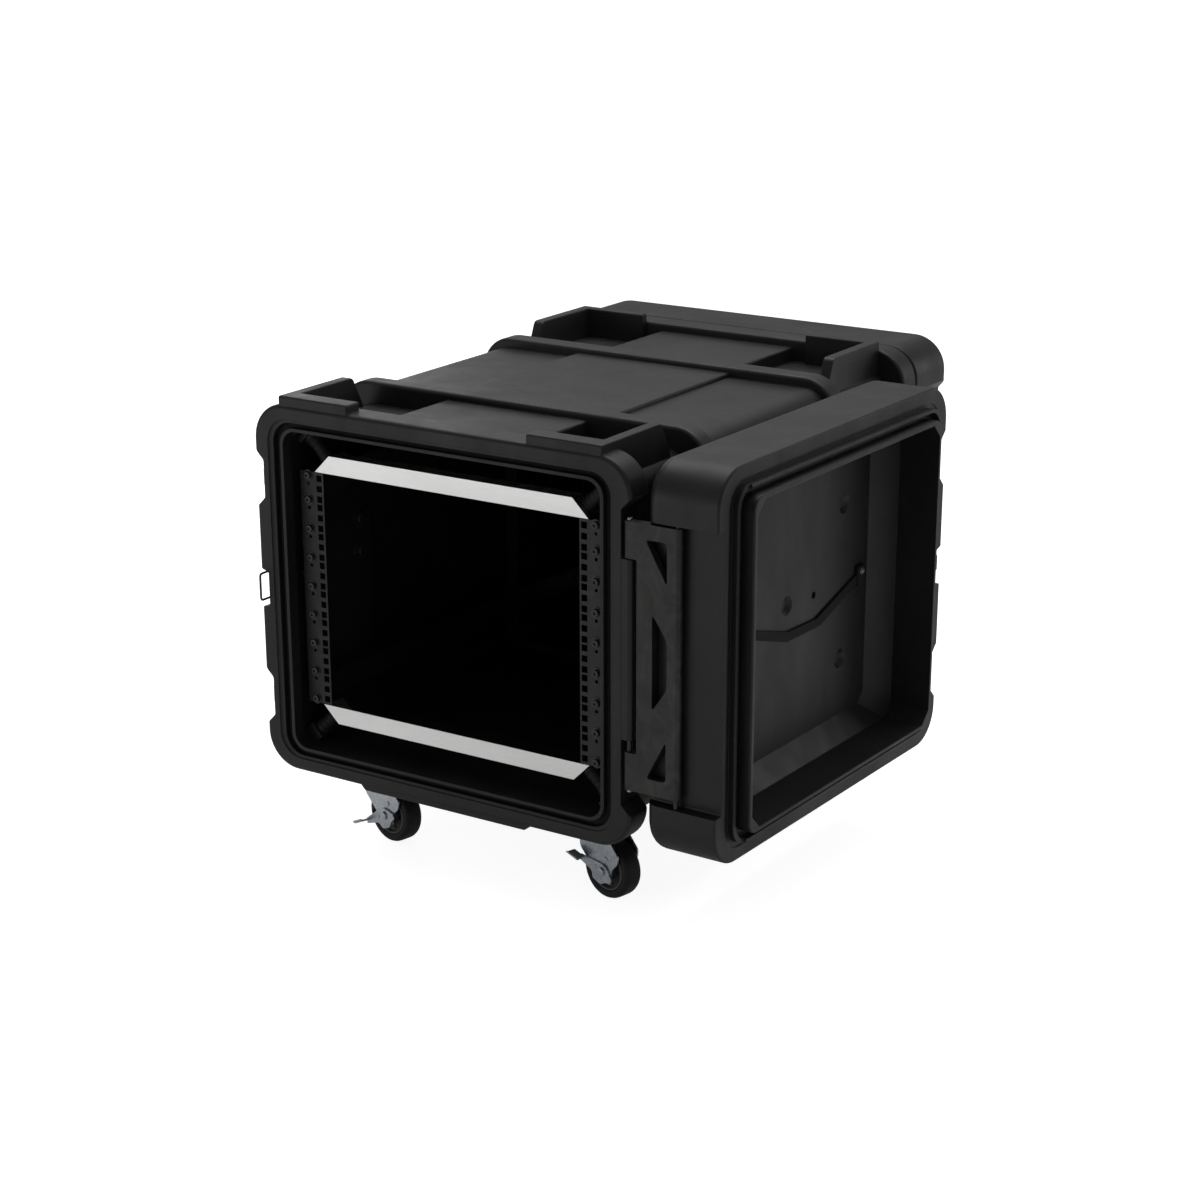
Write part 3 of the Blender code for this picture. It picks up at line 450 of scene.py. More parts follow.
class Nodes:
    """A short way to lay out one material's nodes."""

    def __init__(self, name, roughness, metallic=0.0, specular=0.5):
        self.material = bpy.data.materials.new(name)
        self.material.use_nodes = True
        self.tree = self.material.node_tree
        self.shader = self.tree.nodes["Principled BSDF"]
        self.shader.inputs["Roughness"].default_value = roughness
        self.shader.inputs["Metallic"].default_value = metallic
        self.shader.inputs["Specular IOR Level"].default_value = specular
        self.place = self.add("ShaderNodeTexCoord").outputs["Object"]
        self.normal = None

    def add(self, kind, **values):
        node = self.tree.nodes.new(kind)
        for key, value in values.items():
            setattr(node, key, value)
        return node

    def wire(self, source, target):
        self.tree.links.new(source, target)

    def stretch(self, scale):
        mapping = self.add("ShaderNodeMapping")
        mapping.inputs["Scale"].default_value = scale
        self.wire(self.place, mapping.inputs["Vector"])
        return mapping.outputs["Vector"]

    def noise(self, scale, detail=3.0, rough=0.55, stretch=None, distortion=0.0):
        node = self.add("ShaderNodeTexNoise")
        node.inputs["Scale"].default_value = scale
        node.inputs["Detail"].default_value = detail
        node.inputs["Roughness"].default_value = rough
        node.inputs["Distortion"].default_value = distortion
        self.wire(self.stretch(stretch) if stretch else self.place, node.inputs["Vector"])
        return node.outputs["Fac"]

    def ramp(self, source, low, high, start=0.0, end=1.0):
        """Maps source from low..high to start..end."""
        node = self.add("ShaderNodeMapRange")
        node.inputs["From Min"].default_value = low
        node.inputs["From Max"].default_value = high
        node.inputs["To Min"].default_value = start
        node.inputs["To Max"].default_value = end
        self.wire(source, node.inputs["Value"])
        return node.outputs["Result"]

    def blend(self, factor, first, second):
        node = self.add("ShaderNodeMix", data_type="RGBA")
        for socket, value in ((node.inputs[6], first), (node.inputs[7], second)):
            if isinstance(value, tuple):
                socket.default_value = (*value, 1.0)
            else:
                self.wire(value, socket)
        self.wire(factor, node.inputs[0])
        return node.outputs[2]

    def colour(self, source):
        if isinstance(source, tuple):
            self.shader.inputs["Base Color"].default_value = (*source, 1.0)
        else:
            self.wire(source, self.shader.inputs["Base Color"])

    def rough(self, source):
        self.wire(source, self.shader.inputs["Roughness"])

    def round_edges(self, radius):
        bevel = self.add("ShaderNodeBevel", samples=6)
        bevel.inputs["Radius"].default_value = radius * MM
        self.normal = bevel.outputs["Normal"]
        self.wire(self.normal, self.shader.inputs["Normal"])

    def bump(self, source, strength, distance):
        node = self.add("ShaderNodeBump")
        node.inputs["Strength"].default_value = strength
        node.inputs["Distance"].default_value = distance * MM
        self.wire(source, node.inputs["Height"])
        if self.normal:
            self.wire(self.normal, node.inputs["Normal"])
        self.normal = node.outputs["Normal"]
        self.wire(self.normal, self.shader.inputs["Normal"])

    def edge_mask(self, radius, low, high):
        """1 along edges that stand out, from how far a rounded normal leans off the face."""
        bevel = self.add("ShaderNodeBevel", samples=6)
        bevel.inputs["Radius"].default_value = radius * MM
        flat = self.add("ShaderNodeNewGeometry").outputs["Normal"]
        dot = self.add("ShaderNodeVectorMath", operation="DOT_PRODUCT")
        self.wire(bevel.outputs["Normal"], dot.inputs[0])
        self.wire(flat, dot.inputs[1])
        return self.ramp(dot.outputs["Value"], high, low)


def moulded_plastic(name, base, edge=1.4, gloss=0.46):
    """Rotationally moulded polyethylene: orange peel, fine grain, edges painted lighter (partly rubbed
    wear, partly a painted highlight), faint dust.
    """
    look = Nodes(name, gloss, specular=0.36)
    cloud = look.noise(5.0, 4.0, 0.6)
    patch = look.ramp(cloud, 0.35, 0.7)
    dull = tuple(c * 0.8 for c in base)
    bright = tuple(c * 1.35 + 0.001 for c in base)
    body = look.blend(patch, dull, bright)
    # Edges are painted lighter in colour: partly rubbed wear, partly a painted highlight along the
    # edges.
    edge_wear_and_highlight = look.edge_mask(edge * 1.6, 0.80, 0.985)
    breakup = look.ramp(look.noise(60.0, 5.0, 0.7), 0.42, 0.62, 0.0, 0.55)
    wear_and_highlight_mask = look.add("ShaderNodeMath", operation="MULTIPLY")
    look.wire(edge_wear_and_highlight, wear_and_highlight_mask.inputs[0])
    look.wire(breakup, wear_and_highlight_mask.inputs[1])
    look.colour(look.blend(wear_and_highlight_mask.outputs[0], body, (0.055, 0.055, 0.056)))
    smear = look.noise(9.0, 5.0, 0.62, (1.0, 1.0, 0.35), 0.4)
    look.rough(look.ramp(smear, 0.3, 0.72, gloss - 0.08, gloss + 0.13))
    look.round_edges(edge)
    look.bump(look.noise(95.0, 2.0, 0.5), 0.16, 0.35)
    look.bump(look.noise(1500.0, 2.0, 0.6), 0.22, 0.07)
    return look.material


def coated_metal(name, base, rough=0.42, grain=900.0, strength=0.14, mottled=None):
    """Powder-coated metal, with an optional second tone in cloudy streaks."""
    look = Nodes(name, rough, specular=0.5)
    if mottled:
        streak = look.ramp(look.noise(26.0, 6.0, 0.65, (1.0, 1.0, 0.6), 1.2), 0.42, 0.68)
        look.colour(look.blend(streak, base, mottled))
    else:
        cloud = look.ramp(look.noise(14.0, 4.0), 0.3, 0.7)
        look.colour(look.blend(cloud, tuple(c * 0.85 for c in base), tuple(c * 1.2 for c in base)))
    look.rough(look.ramp(look.noise(40.0, 4.0), 0.3, 0.7, rough - 0.07, rough + 0.09))
    look.round_edges(0.5)
    look.bump(look.noise(grain, 2.0, 0.5), strength, 0.12)
    return look.material


def brushed_metal(name, base, along=(1.0, 60.0, 60.0), rough=0.3, streak=30.0):
    """Metal brushed along one axis: fine streaks in colour, roughness and bump."""
    look = Nodes(name, rough, metallic=1.0)
    lines = look.noise(streak, 5.0, 0.7, along)
    broad = look.noise(3.0, 3.0, 0.5, (1.0, 4.0, 4.0))
    tone = look.blend(look.ramp(lines, 0.3, 0.7), tuple(c * 0.82 for c in base), base)
    look.colour(look.blend(look.ramp(broad, 0.35, 0.75, 0.0, 0.4), tone, tuple(c * 0.7 for c in base)))
    look.rough(look.ramp(lines, 0.25, 0.75, rough - 0.08, rough + 0.12))
    look.round_edges(0.4)
    look.bump(lines, 0.08, 0.1)
    return look.material


def zinc_plate(name):
    """Bright zinc on pressed steel: soft spangle and cloudy patches, with a cool cast."""
    look = Nodes(name, 0.28, metallic=1.0)
    cells = look.add("ShaderNodeTexVoronoi")
    cells.inputs["Scale"].default_value = 240.0
    look.wire(look.place, cells.inputs["Vector"])
    tone = look.blend(look.ramp(cells.outputs["Distance"], 0.0, 0.7), (0.68, 0.72, 0.76),
                      (0.50, 0.54, 0.58))
    cloud = look.ramp(look.noise(45.0, 4.0), 0.35, 0.7, 0.0, 0.5)
    look.colour(look.blend(cloud, tone, (0.42, 0.44, 0.46)))
    look.rough(look.ramp(look.noise(120.0, 3.0), 0.3, 0.7, 0.22, 0.42))
    look.round_edges(0.5)
    look.bump(look.noise(160.0, 3.0), 0.1, 0.15)
    return look.material


def rubber(name, base, rough=0.72, grain=700.0):
    look = Nodes(name, rough, specular=0.3)
    dust = look.ramp(look.noise(30.0, 6.0, 0.7), 0.45, 0.75, 0.0, 0.5)
    look.colour(look.blend(dust, base, tuple(c * 1.9 + 0.004 for c in base)))
    look.rough(look.ramp(look.noise(60.0, 4.0), 0.3, 0.7, rough - 0.1, rough + 0.1))
    look.round_edges(0.6)
    look.bump(look.noise(grain, 2.0, 0.6), 0.2, 0.12)
    return look.material


def shaded_weave(name, base):
    """A woven look of crossed fine waves on a dark base; on the lid ridge that dark base is painted
    shade.
    """
    look = Nodes(name, 0.7, specular=0.25)
    weave = look.add("ShaderNodeTexWave", bands_direction="Z")
    weave.inputs["Scale"].default_value = 420.0
    weave.inputs["Distortion"].default_value = 0.6
    look.wire(look.place, weave.inputs["Vector"])
    cross = look.add("ShaderNodeTexWave", bands_direction="Y")
    cross.inputs["Scale"].default_value = 300.0
    look.wire(look.place, cross.inputs["Vector"])
    mixed = look.add("ShaderNodeMath", operation="MULTIPLY")
    look.wire(weave.outputs["Fac"], mixed.inputs[0])
    look.wire(cross.outputs["Fac"], mixed.inputs[1])
    look.colour(look.blend(mixed.outputs[0], base, tuple(c * 2.4 for c in base)))
    look.bump(mixed.outputs[0], 0.6, 0.3)
    return look.material


def make_materials():
    return {
        "case": moulded_plastic("case_plastic", (0.0129, 0.0128, 0.0122)),
        "lid": moulded_plastic("lid_plastic", (0.0120, 0.0123, 0.0128), gloss=0.43),
        "latch": moulded_plastic("latch_plastic", (0.014, 0.014, 0.0145), edge=0.8, gloss=0.38),
        "link": coated_metal("link_coating", (0.012, 0.0117, 0.011), 0.5, 500.0, 0.2,
                             (0.042, 0.0405, 0.038)),
        "rail": coated_metal("rail_coating", (0.0045, 0.0045, 0.0048), 0.5),
        "beam": coated_metal("beam_coating", (0.014, 0.014, 0.0145), 0.36),
        "black_steel": coated_metal("black_steel", (0.012, 0.012, 0.0125), 0.33, 600.0, 0.08),
        "bar": brushed_metal("bar_aluminium", (0.93, 0.935, 0.92)),
        "pin": brushed_metal("pin_steel", (0.42, 0.42, 0.43), (60.0, 60.0, 1.0), 0.35),
        "zinc": zinc_plate("zinc_steel"),
        "gasket": rubber("seal_rubber", (0.008, 0.008, 0.008), 0.82),
        "mount": rubber("mount_rubber", (0.011, 0.011, 0.011), 0.62),
        "tyre": rubber("tyre_rubber", (0.013, 0.013, 0.014), 0.55, 400.0),
        "hub": coated_metal("hub_plastic", (0.02, 0.02, 0.0205), 0.45, 500.0, 0.1),
        "hub_ring": coated_metal("hub_ring", (0.14, 0.145, 0.15), 0.5, 500.0, 0.1),
        "bolt": coated_metal("bolt_steel", (0.02, 0.02, 0.021), 0.22, 300.0, 0.04),
        "grip": rubber("grip_rubber", (0.012, 0.012, 0.012), 0.6, 500.0),
        # The lid ridge's weave is darker than the lid plastic: painted shade standing in for the
        # shadow under the ridge.
        "ridge_shade": shaded_weave("ridge_painted_shade", (0.006, 0.006, 0.0065)),
    }


# ---- body shell ----

def behind(depth):
    return FRONT + depth


def span(near, far):
    return (behind(near), behind(far))


def side_cutter(side, z, y, slope=16.5, inner_half=RECESS_HALF):
    """A cutter for a recess in a side wall, with sloping ends."""
    inner = side * inner_half
    outer = side * (RING_HALF + 20.0)
    flare = slope * 20.0 / (RING_HALF - RECESS_HALF) + slope
    outline = [(inner, z[0]), (outer, z[0] - flare), (outer, z[1] + flare), (inner, z[1])]
    return plate([rounded(outline, 3.0)], "XZ", y)


def latch_side_cutters(y):
    cutters = [side_cutter(-1, zone, y) for zone in LATCH_ZONES]
    cutters.append(side_cutter(-1, NOTCH, y, 5.0))
    return cutters


def rim_ring():
    ring = tunnel(RING_HALF, (RING_BOTTOM, RING_TOP), span(0, RING_DEPTH), RING_RADIUS,
                  (7.0, 5.0), 16, 5)
    sides = span(-10, RING_DEPTH + 10)
    cut(ring, *latch_side_cutters(sides))
    cut(ring, side_cutter(1, (199.0, 627.0), sides))
    return ring


def rib(depths):
    return tunnel(RIB_HALF, (RIB_BOTTOM, RIB_TOP), span(*depths), RING_RADIUS, (6.0, 6.0), 16, 4)


def neck(depths):
    return tunnel(NECK_HALF, (CORE_BOTTOM, NECK_TOP), span(*depths), 28.0, steps=10)


def curbs(depths, wall, slope):
    """Two L-shaped stacking curbs at one end, each with a ramp down at its free end."""
    pieces = []
    near, far = behind(depths[0]), behind(slope[0])
    foot = behind(slope[1])
    outline = [(near, NECK_TOP - 8, 0), (near, CURB_TOP, 4), (far, CURB_TOP, 7),
               (foot, NECK_TOP, 4), (foot, NECK_TOP - 8, 0)]
    for side in (-1, 1):
        faces = sorted((side * 262.0, side * 280.0))
        arm = plate([rounded(outline, 4.0)], "YZ", faces, 2.0)
        pieces.append(arm)
        across = (side * 155.0, side * 279.5)
        pieces.append(block(across, span(*wall), (NECK_TOP - 6, CURB_TOP), 3.0, 3))
    return pieces


def stacking_pad(depths):
    outline = [(-153, 142, 0), (-153, 131), (-145, 122.5), (145, 122.5), (153, 131), (153, 142, 0)]
    return plate([rounded(outline, 2.5)], "XZ", span(*depths), 1.2)


def caster_pads():
    pads = []
    for depth in (118.0, 698.0):
        for side in (-1, 1):
            x = (side * CASTER_X - 52, side * CASTER_X + 52)
            pads.append(block(x, span(depth - 48, depth + 48), (CASTER_TOP + 0.3, 155), 3.0, 3))
    return pads


def knuckle():
    """The moulded half of the hinge, between the tabs of the link."""
    z = (297.0, 558.0)
    web = block((305.0, PIN_X), (BODY_PIN_Y - 7.6, BODY_PIN_Y + 7.8), z)
    barrel = rod((PIN_X, BODY_PIN_Y, sum(z) / 2), 7.8, z[1] - z[0] - 0.4, steps=40, soft=1.2)
    return join(web, barrel)


def diagonal(side, top, distance):
    """Lays a piece that stands on Z along the line from a bar's end to the shell's corner."""
    upward = 1 if top else -1
    direction = Vector((side, 0, upward)).normalized()
    turn = Vector((0, 0, 1)).rotation_difference(direction).to_matrix().to_4x4()
    x = side * (BAR_LONG_HALF - BAR_HEIGHT / 2)
    z = RAIL_TOP + 0.3 + BAR_HEIGHT / 2 if top else RAIL_BOTTOM - 0.3 - BAR_HEIGHT / 2
    start = Vector((x, 0.0, z)) + direction * distance
    return Matrix.Translation(start * MM) @ turn


def mount_seats():
    seats = []
    for top in (True, False):
        for side in (-1, 1):
            thickness = 10.0 if top else 18.0
            seat = block((-14, 14), (behind(35), behind(75)), (0, thickness), 1.5)
            seats.append(moved(seat, diagonal(side, top, 48.0)))
    return seats


def handle_lugs():
    lugs = []
    for depth in HANDLE_INS:
        for side in (-1, 1):
            for end in (-1, 1):
                y = (behind(depth) + end * 57.0, behind(depth) + end * 67.0)
                lug = block((side * 288.0, side * 308.5), y, (HANDLE_Z - 9, HANDLE_Z + 9), 2.5, 3)
                lugs.append(cut(lug, rod((side * HANDLE_X, behind(depth), HANDLE_Z), 5.9, 160, "Y")))
    return lugs


def bail_lug():
    middle = sum(BAIL_ZONE) / 2
    lug = block((-323.0, -308.0), span(17, 27), (middle - 7, middle + 7), 1.2)
    return cut(lug, rod((BAIL_X, behind(22), middle), 2.3, 40))


def rim_cutters():
    """Step, groove and opening of one rim, each with softened mouths."""
    step = rim_tunnel(RIM_STEP, (FRONT - 5, FRONT + 3), (0, 2.2))
    groove = rim_tunnel(RIM_EDGE, (FRONT + 2, FRONT + 14), (0, 1.5))
    cut(groove, rim_tunnel(GROOVE_INNER, (FRONT - 5, FRONT + 19)))
    opening = rim_tunnel(APERTURE, (FRONT - 5, FRONT + 23.1))
    return [step, groove, opening]


def cavity(half, low, high, radius, depths):
    return tunnel(half, (low, high), span(*depths), radius, steps=10)


def panel(half, depths, top, foot):
    return block((-half, half), span(*depths), (foot, top), 4.0, 3)


def make_body(materials):
    shell = tunnel(RECESS_HALF, (CORE_BOTTOM, CORE_TOP), span(204, 615), 35.0, steps=12)
    join(shell, neck((20, 216)), neck((604, BODY_DEPTH - 20)))
    join(shell, rib((202, 236)), rib((578, 617)))
    join(shell, rim_ring(), moved(rim_ring(), HALF_TURN))
    join(shell, panel(125, (30, 206), PANEL_TOP, NECK_TOP - 8))
    join(shell, panel(141, (230, 584), CENTRE_PANEL_TOP, CORE_TOP - 8))
    join(shell, panel(125, (612, 830), PANEL_TOP, NECK_TOP - 8))
    join(shell, *curbs((2, 155), (2.5, 34), (155, 180)))
    join(shell, *curbs((815, 661), (797, 814.5), (661, 640)))
    join(shell, stacking_pad((3, 44)), stacking_pad((812, 853)), *caster_pads())
    join(shell, knuckle(), moved(knuckle(), HALF_TURN))
    join(shell, bail_lug(), moved(bail_lug(), HALF_TURN))
    cut(shell, cavity(284, 167, 652.5, 25, (22, 214)))
    cut(shell, cavity(284, 167, 652.5, 25, (606, BODY_DEPTH - 22)))
    cut(shell, cavity(303, 156, 670, 28, (212.5, 607.5)))
    for cutter in rim_cutters():
        rear = moved(copy_of(cutter), HALF_TURN)
        cut(shell, cutter, rear)
    for seat in mount_seats():
        rear = moved(copy_of(seat), HALF_TURN)
        join(shell, seat, rear)
    join(shell, *handle_lugs())
    bore = rod((PIN_X, BODY_PIN_Y, MIDDLE), 4.35, 420)
    rear_bore = moved(copy_of(bore), HALF_TURN)
    cut(shell, bore, rear_bore)
    finish(shell, "body_moulding", materials["case"], "case_body", ["body_shell"])


def bolt_head(centre, radius, height, axis, washer=0.0, socket=0.0, hexagon=False):
    """A bolt's head and washer, standing on a face at centre, along +axis or -axis."""
    letter, sign = axis[1], 1 if axis[0] == "+" else -1
    unit = {"X": Vector((1, 0, 0)), "Y": Vector((0, 1, 0)), "Z": Vector((0, 0, 1))}[letter] * sign
    base = Vector(centre)
    parts = []
    lift = 0.0
    if washer:
        parts.append(rod(base + unit * 0.6, washer, 1.2, letter, 36, 0.3))
        lift = 1.2
    steps = 6 if hexagon else 28
    head = rod(base + unit * (lift + height / 2), radius, height, letter, steps,
               0.5 if hexagon else min(1.4, height * 0.45))
    if socket:
        cut(head, rod(base + unit * (lift + height), socket, height, letter, 6))
    parts.append(head)
    return parts


def make_body_fasteners(materials):
    """Handle bolts on the inside of the side walls, and caster bolts."""
    inside = []
    for depth in HANDLE_INS:
        for side in (-1, 1):
            axis = "-X" if side > 0 else "+X"
            for z in (HANDLE_Z - 42.0, HANDLE_Z + 10.0):
                for end in (-62.0, 62.0):
                    place = (side * 284.0, behind(depth) + end, z)
                    inside += bolt_head(place, 10.5, 6.0, axis, 17.5, 4.0)
    finish(gather("handle_bolts", inside), "handle_bolts", materials["bolt"], "case_body")
    under = []
    for y in (-310.0, 270.0):
        for side in (-1, 1):
            for dx in (-37.0, 37.0):
                for dy in (-31.0, 31.0):
                    place = (side * CASTER_X + dx, y + dy, CASTER_TOP - 3.0)
                    under += bolt_head(place, 5.0, 4.0, "-Z", 8.0, 0.0, True)
    finish(gather("caster_bolts", under), "caster_bolts", materials["zinc"], "case_body")


# ---- lids ----

def lid_floor_cutter():
    """The tapered foot of the lid's hollow, down to its back panel."""
    half_width, half_height = LID_WALL
    shape = cube_shape((-half_width, half_width), (FRONT - 68, FRONT - 45),
                       (MIDDLE - half_height, MIDDLE + half_height))
    long_edges = [e for e in shape.edges if abs(e.verts[0].co.y - e.verts[1].co.y) > 1.0]
    bmesh.ops.bevel(shape, geom=long_edges, offset=LID_CORNER, segments=1, affect="EDGES")
    for vert in shape.verts:
        if vert.co.y < FRONT - 60:
            vert.co.x *= LID_FLOOR[0] / half_width
            vert.co.z = MIDDLE + (vert.co.z - MIDDLE) * LID_FLOOR[1] / half_height
    return from_bmesh("floor", shape)


def lid_dimple(across, height, radius=15.0):
    """A shallow cone where the two skins of the back panel meet."""
    shape = bmesh.new()
    bmesh.ops.create_cone(shape, cap_ends=True, segments=36, radius1=radius * 0.5,
                          radius2=radius * 1.5, depth=13.0)
    bmesh.ops.rotate(shape, cent=(0, 0, 0), matrix=Matrix.Rotation(-math.pi / 2, 3, "X"),
                     verts=shape.verts)
    bmesh.ops.translate(shape, vec=(across, FRONT - 68.0, height), verts=shape.verts)
    return from_bmesh("dimple", shape)


LID_DIMPLES = ((-138.0, 541.0), (27.0, 426.0), (-137.0, 300.0))


def bolt_guides(height):
    """The two grooved guides in which a latch bolt slides."""
    guides = []
    for side in (-1, 1):
        z = (height + side * (BOLT_HALF + 0.6), height + side * 25.0)
        guide = block((-320.0, -306.0), (FRONT - 90, FRONT - 26), z, 2.0, 3)
        groove = (height + side * (BOLT_HALF - 1), height + side * (BOLT_HALF + 3.6))
        cut(guide, block((-315.6, -313.2), (FRONT - 100, FRONT - 10), groove))
        guides.append(guide)
    return guides


def make_lid_shape():
    lid = tunnel(RING_HALF, (RING_BOTTOM, RING_TOP), (LID_BACK, LID_PLANE), RING_RADIUS,
                 (20.0, 3.5), 16, 6)
    sides = (LID_BACK - 10, LID_PLANE + 10)
    cut(lid, *latch_side_cutters(sides))
    cut(lid, side_cutter(1, (210.0, 614.0), sides, 1.0))
    cut(lid, rim_tunnel(RIM_STEP, (LID_PLANE - 2, LID_PLANE + 5), (1.2, 0)))
    tongue = rim_tunnel(TONGUE, (LID_PLANE - 5, FRONT + 10.5), (0, 2.0), end_steps=4)
    cut(tongue, rim_tunnel(TONGUE_INNER, (LID_PLANE - 2, FRONT + 30)))
    cut(tongue, block((262.0, 310.0), (FRONT + 6.5, FRONT + 20), (RING_BOTTOM, RING_TOP)))
    join(lid, tongue)
    join(lid, rim_tunnel(LIP, (LID_PLANE - 6, FRONT + 21.0), (0, 2.5), end_steps=4))
    wall = tunnel(LID_WALL[0], (MIDDLE - LID_WALL[1], MIDDLE + LID_WALL[1]),
                  (FRONT - 45.2, FRONT + 40), LID_CORNER, steps=1)
    cut(lid, wall, lid_floor_cutter())
    back = FRONT - 77.0
    cut(lid, rim_tunnel((248.0, 212.0, 30.0), (LID_BACK - 10, back), (0, 6.0), 8, 4))
    for across, height in LID_DIMPLES:
        cut(lid, lid_dimple(across, height))
    cut(lid, rod((-52.0, FRONT - 68, 422.0), 5.5, 14, "Y"))
    middle = sum(BAIL_ZONE) / 2
    for height in LATCH_HEIGHTS:
        join(lid, *bolt_guides(height))
    join(lid, block((-322.0, -306.0), (FRONT - 9.5, FRONT - 3.0), (middle - 12, middle + 12), 1.2))
    cut(lid, rod((PIN_X, LID_PIN_Y, MIDDLE), 4.35, 432))
    return lid


def lid_ridge():
    """A faceted ridge across the inside of the back panel, with its end boss."""
    floor = FRONT - 68.0
    line = [(157.0, 425.0), (25.0, 387.0), (-57.0, 385.0), (-183.0, 425.0)]
    lower = [(157.0, 411.0), (28.0, 372.0), (-66.0, 371.0), (-190.0, 410.0)]
    outline = line + lower[::-1]
    ridge = plate([rounded(outline, 3.0)], "XZ", (floor - 1.0, floor + 4.0), 1.2)
    boss = block((-176.0, -198.0), (floor - 1.0, floor + 7.0), (404.0, 436.0), 2.5, 3)
    return join(ridge, boss)


def make_lid(end, materials):
    body = end + "_lid"
    lid = moved(make_lid_shape(), REST[end, "lid"])
    finish(lid, end + "_lid_moulding", materials["lid"], body, [end + "_lid"],
           18.0)
    ridge = moved(lid_ridge(), REST[end, "lid"])
    # The ridge is painted the dark weave, darker than the lid: painted shade for the shadow under it.
    finish(ridge, end + "_lid_ridge", materials["ridge_shade"], body)
    screws = bolt_head((-186.0, FRONT - 61.0, 427.0), 3.6, 2.0, "+Y", 5.5, 1.6)
    screws = moved(gather("screws", screws), REST[end, "lid"])
    finish(screws, end + "_lid_screw", materials["pin"], body)
    make_pin(end + "_lid", LID_PIN_Y, (MIDDLE, 424.0), REST[end, "lid"], body, materials)


# ---- hinge links, seals and small hardware ----

def make_link(end, materials):
    near = BODY_PIN_Y - 15
    y_lid = LID_PIN_Y - 2.0
    web = [(BODY_PIN_Y, TAB_HIGH_BOTTOM + 0.5, 0), (near, TAB_HIGH_BOTTOM + 0.5, 2),
           (near, TAB_LOW_TOP - 0.5, 2), (BODY_PIN_Y, TAB_LOW_TOP - 0.5, 0),
           (BODY_PIN_Y, LINK_BOTTOM + 0.5, 0), (y_lid, LINK_BOTTOM + 0.5, 3),
           (y_lid, LINK_TOP - 0.5, 3), (BODY_PIN_Y, LINK_TOP - 0.5, 0)]
    y = BODY_PIN_Y
    windows = [
        [(y - 29, 590.0), (y - 63, 590.0), (y - 63, 530.0)],
        [(y - 40, 487.0), (y - 63.5, 452.0), (y - 63.5, 382.0), (y - 40, 348.0)],
        [(y - 62.5, 307.0), (y - 63, 247.0), (y - 31, 247.0)],
    ]
    outlines = [rounded(web, 2.0)] + [rounded(window, 7.0) for window in windows]
    link = plate(outlines, "YZ", (PIN_X - 7, PIN_X + 7), 1.0)
    middle = (LINK_TOP + LINK_BOTTOM) / 2
    join(link, rod((PIN_X, LID_PIN_Y, middle), 7.1, LINK_TOP - LINK_BOTTOM - 0.2, steps=40, soft=1))
    for low, high in ((TAB_HIGH_BOTTOM, LINK_TOP), (LINK_BOTTOM, TAB_LOW_TOP)):
        join(link, rod((PIN_X, BODY_PIN_Y, (low + high) / 2), 7.1, high - low, steps=40, soft=1))
    for pin_y in (LID_PIN_Y, BODY_PIN_Y):
        cut(link, rod((PIN_X, pin_y, middle), 4.35, LINK_TOP - LINK_BOTTOM + 20))
    moved(link, REST[end, "link"])
    finish(link, end + "_link_plate", materials["link"], end + "_hinge_link",
           [end + "_hinge_link"])


def make_gasket(end, materials):
    y = (FRONT + 11.1, FRONT + 13.7)
    seal = rim_tunnel((RIM_EDGE[0] - 0.3, RIM_EDGE[1] - 0.3, RIM_EDGE[2]), y, (0.8, 0))
    cut(seal, rim_tunnel((GROOVE_INNER[0] + 0.3, GROOVE_INNER[1] + 0.3, GROOVE_INNER[2]),
                         (y[0] - 5, y[1] + 5)))
    moved(seal, REST[end, "body"])
    finish(seal, end + "_seal", materials["gasket"], "case_body", [end + "_gasket"])


def make_pin(name, y, reach, matrix, body, materials):
    """A blackened hinge pin whose two ends are ground bright."""
    middle, length = reach
    pin = moved(rod((PIN_X, y, middle), 4.0, length - 9.0), matrix)
    finish(pin, name + "_pin", materials["black_steel"], body, [name + "_hinge_pin"])
    ends = []
    for side in (-1, 1):
        centre = middle + side * (length / 2 - 2.2)
        ends.append(rod((PIN_X, y, centre), 4.0, 4.4, soft=1.0))
    ends = moved(gather("ends", ends), matrix)
    finish(ends, name + "_pin_ends", materials["pin"], body)


def make_body_pin(end, materials):
    reach = ((LINK_TOP + LINK_BOTTOM) / 2, LINK_TOP - LINK_BOTTOM + 8)
    make_pin(end + "_body", BODY_PIN_Y, reach, REST[end, "body"], "case_body", materials)


def make_keeper(end, label, height, materials):
    bridge = block((-RECESS_HALF - 4.6, -RECESS_HALF - 0.3), span(4, 28),
                   (height - 12.5, height + 12.5), 1.2, 3)
    cut(bridge, block((-RECESS_HALF - 2.9, -RECESS_HALF + 2), span(0, 32),
                      (height - 9, height + 9)))
    screws = []
    for z in (-10.6, 10.6):
        for depth in (9.0, 23.0):
            place = (-RECESS_HALF - 4.5, behind(depth), height + z)
            screws += bolt_head(place, 1.5, 0.7, "-X", 0, 0.7)
    moved(bridge, REST[end, "body"])
    finish(bridge, f"{end}_{label}_strike", materials["black_steel"], "case_body",
           [f"{end}_{label}_keeper"])
    screws = moved(gather("screws", screws), REST[end, "body"])
    finish(screws, f"{end}_{label}_strike_screws", materials["pin"], "case_body")


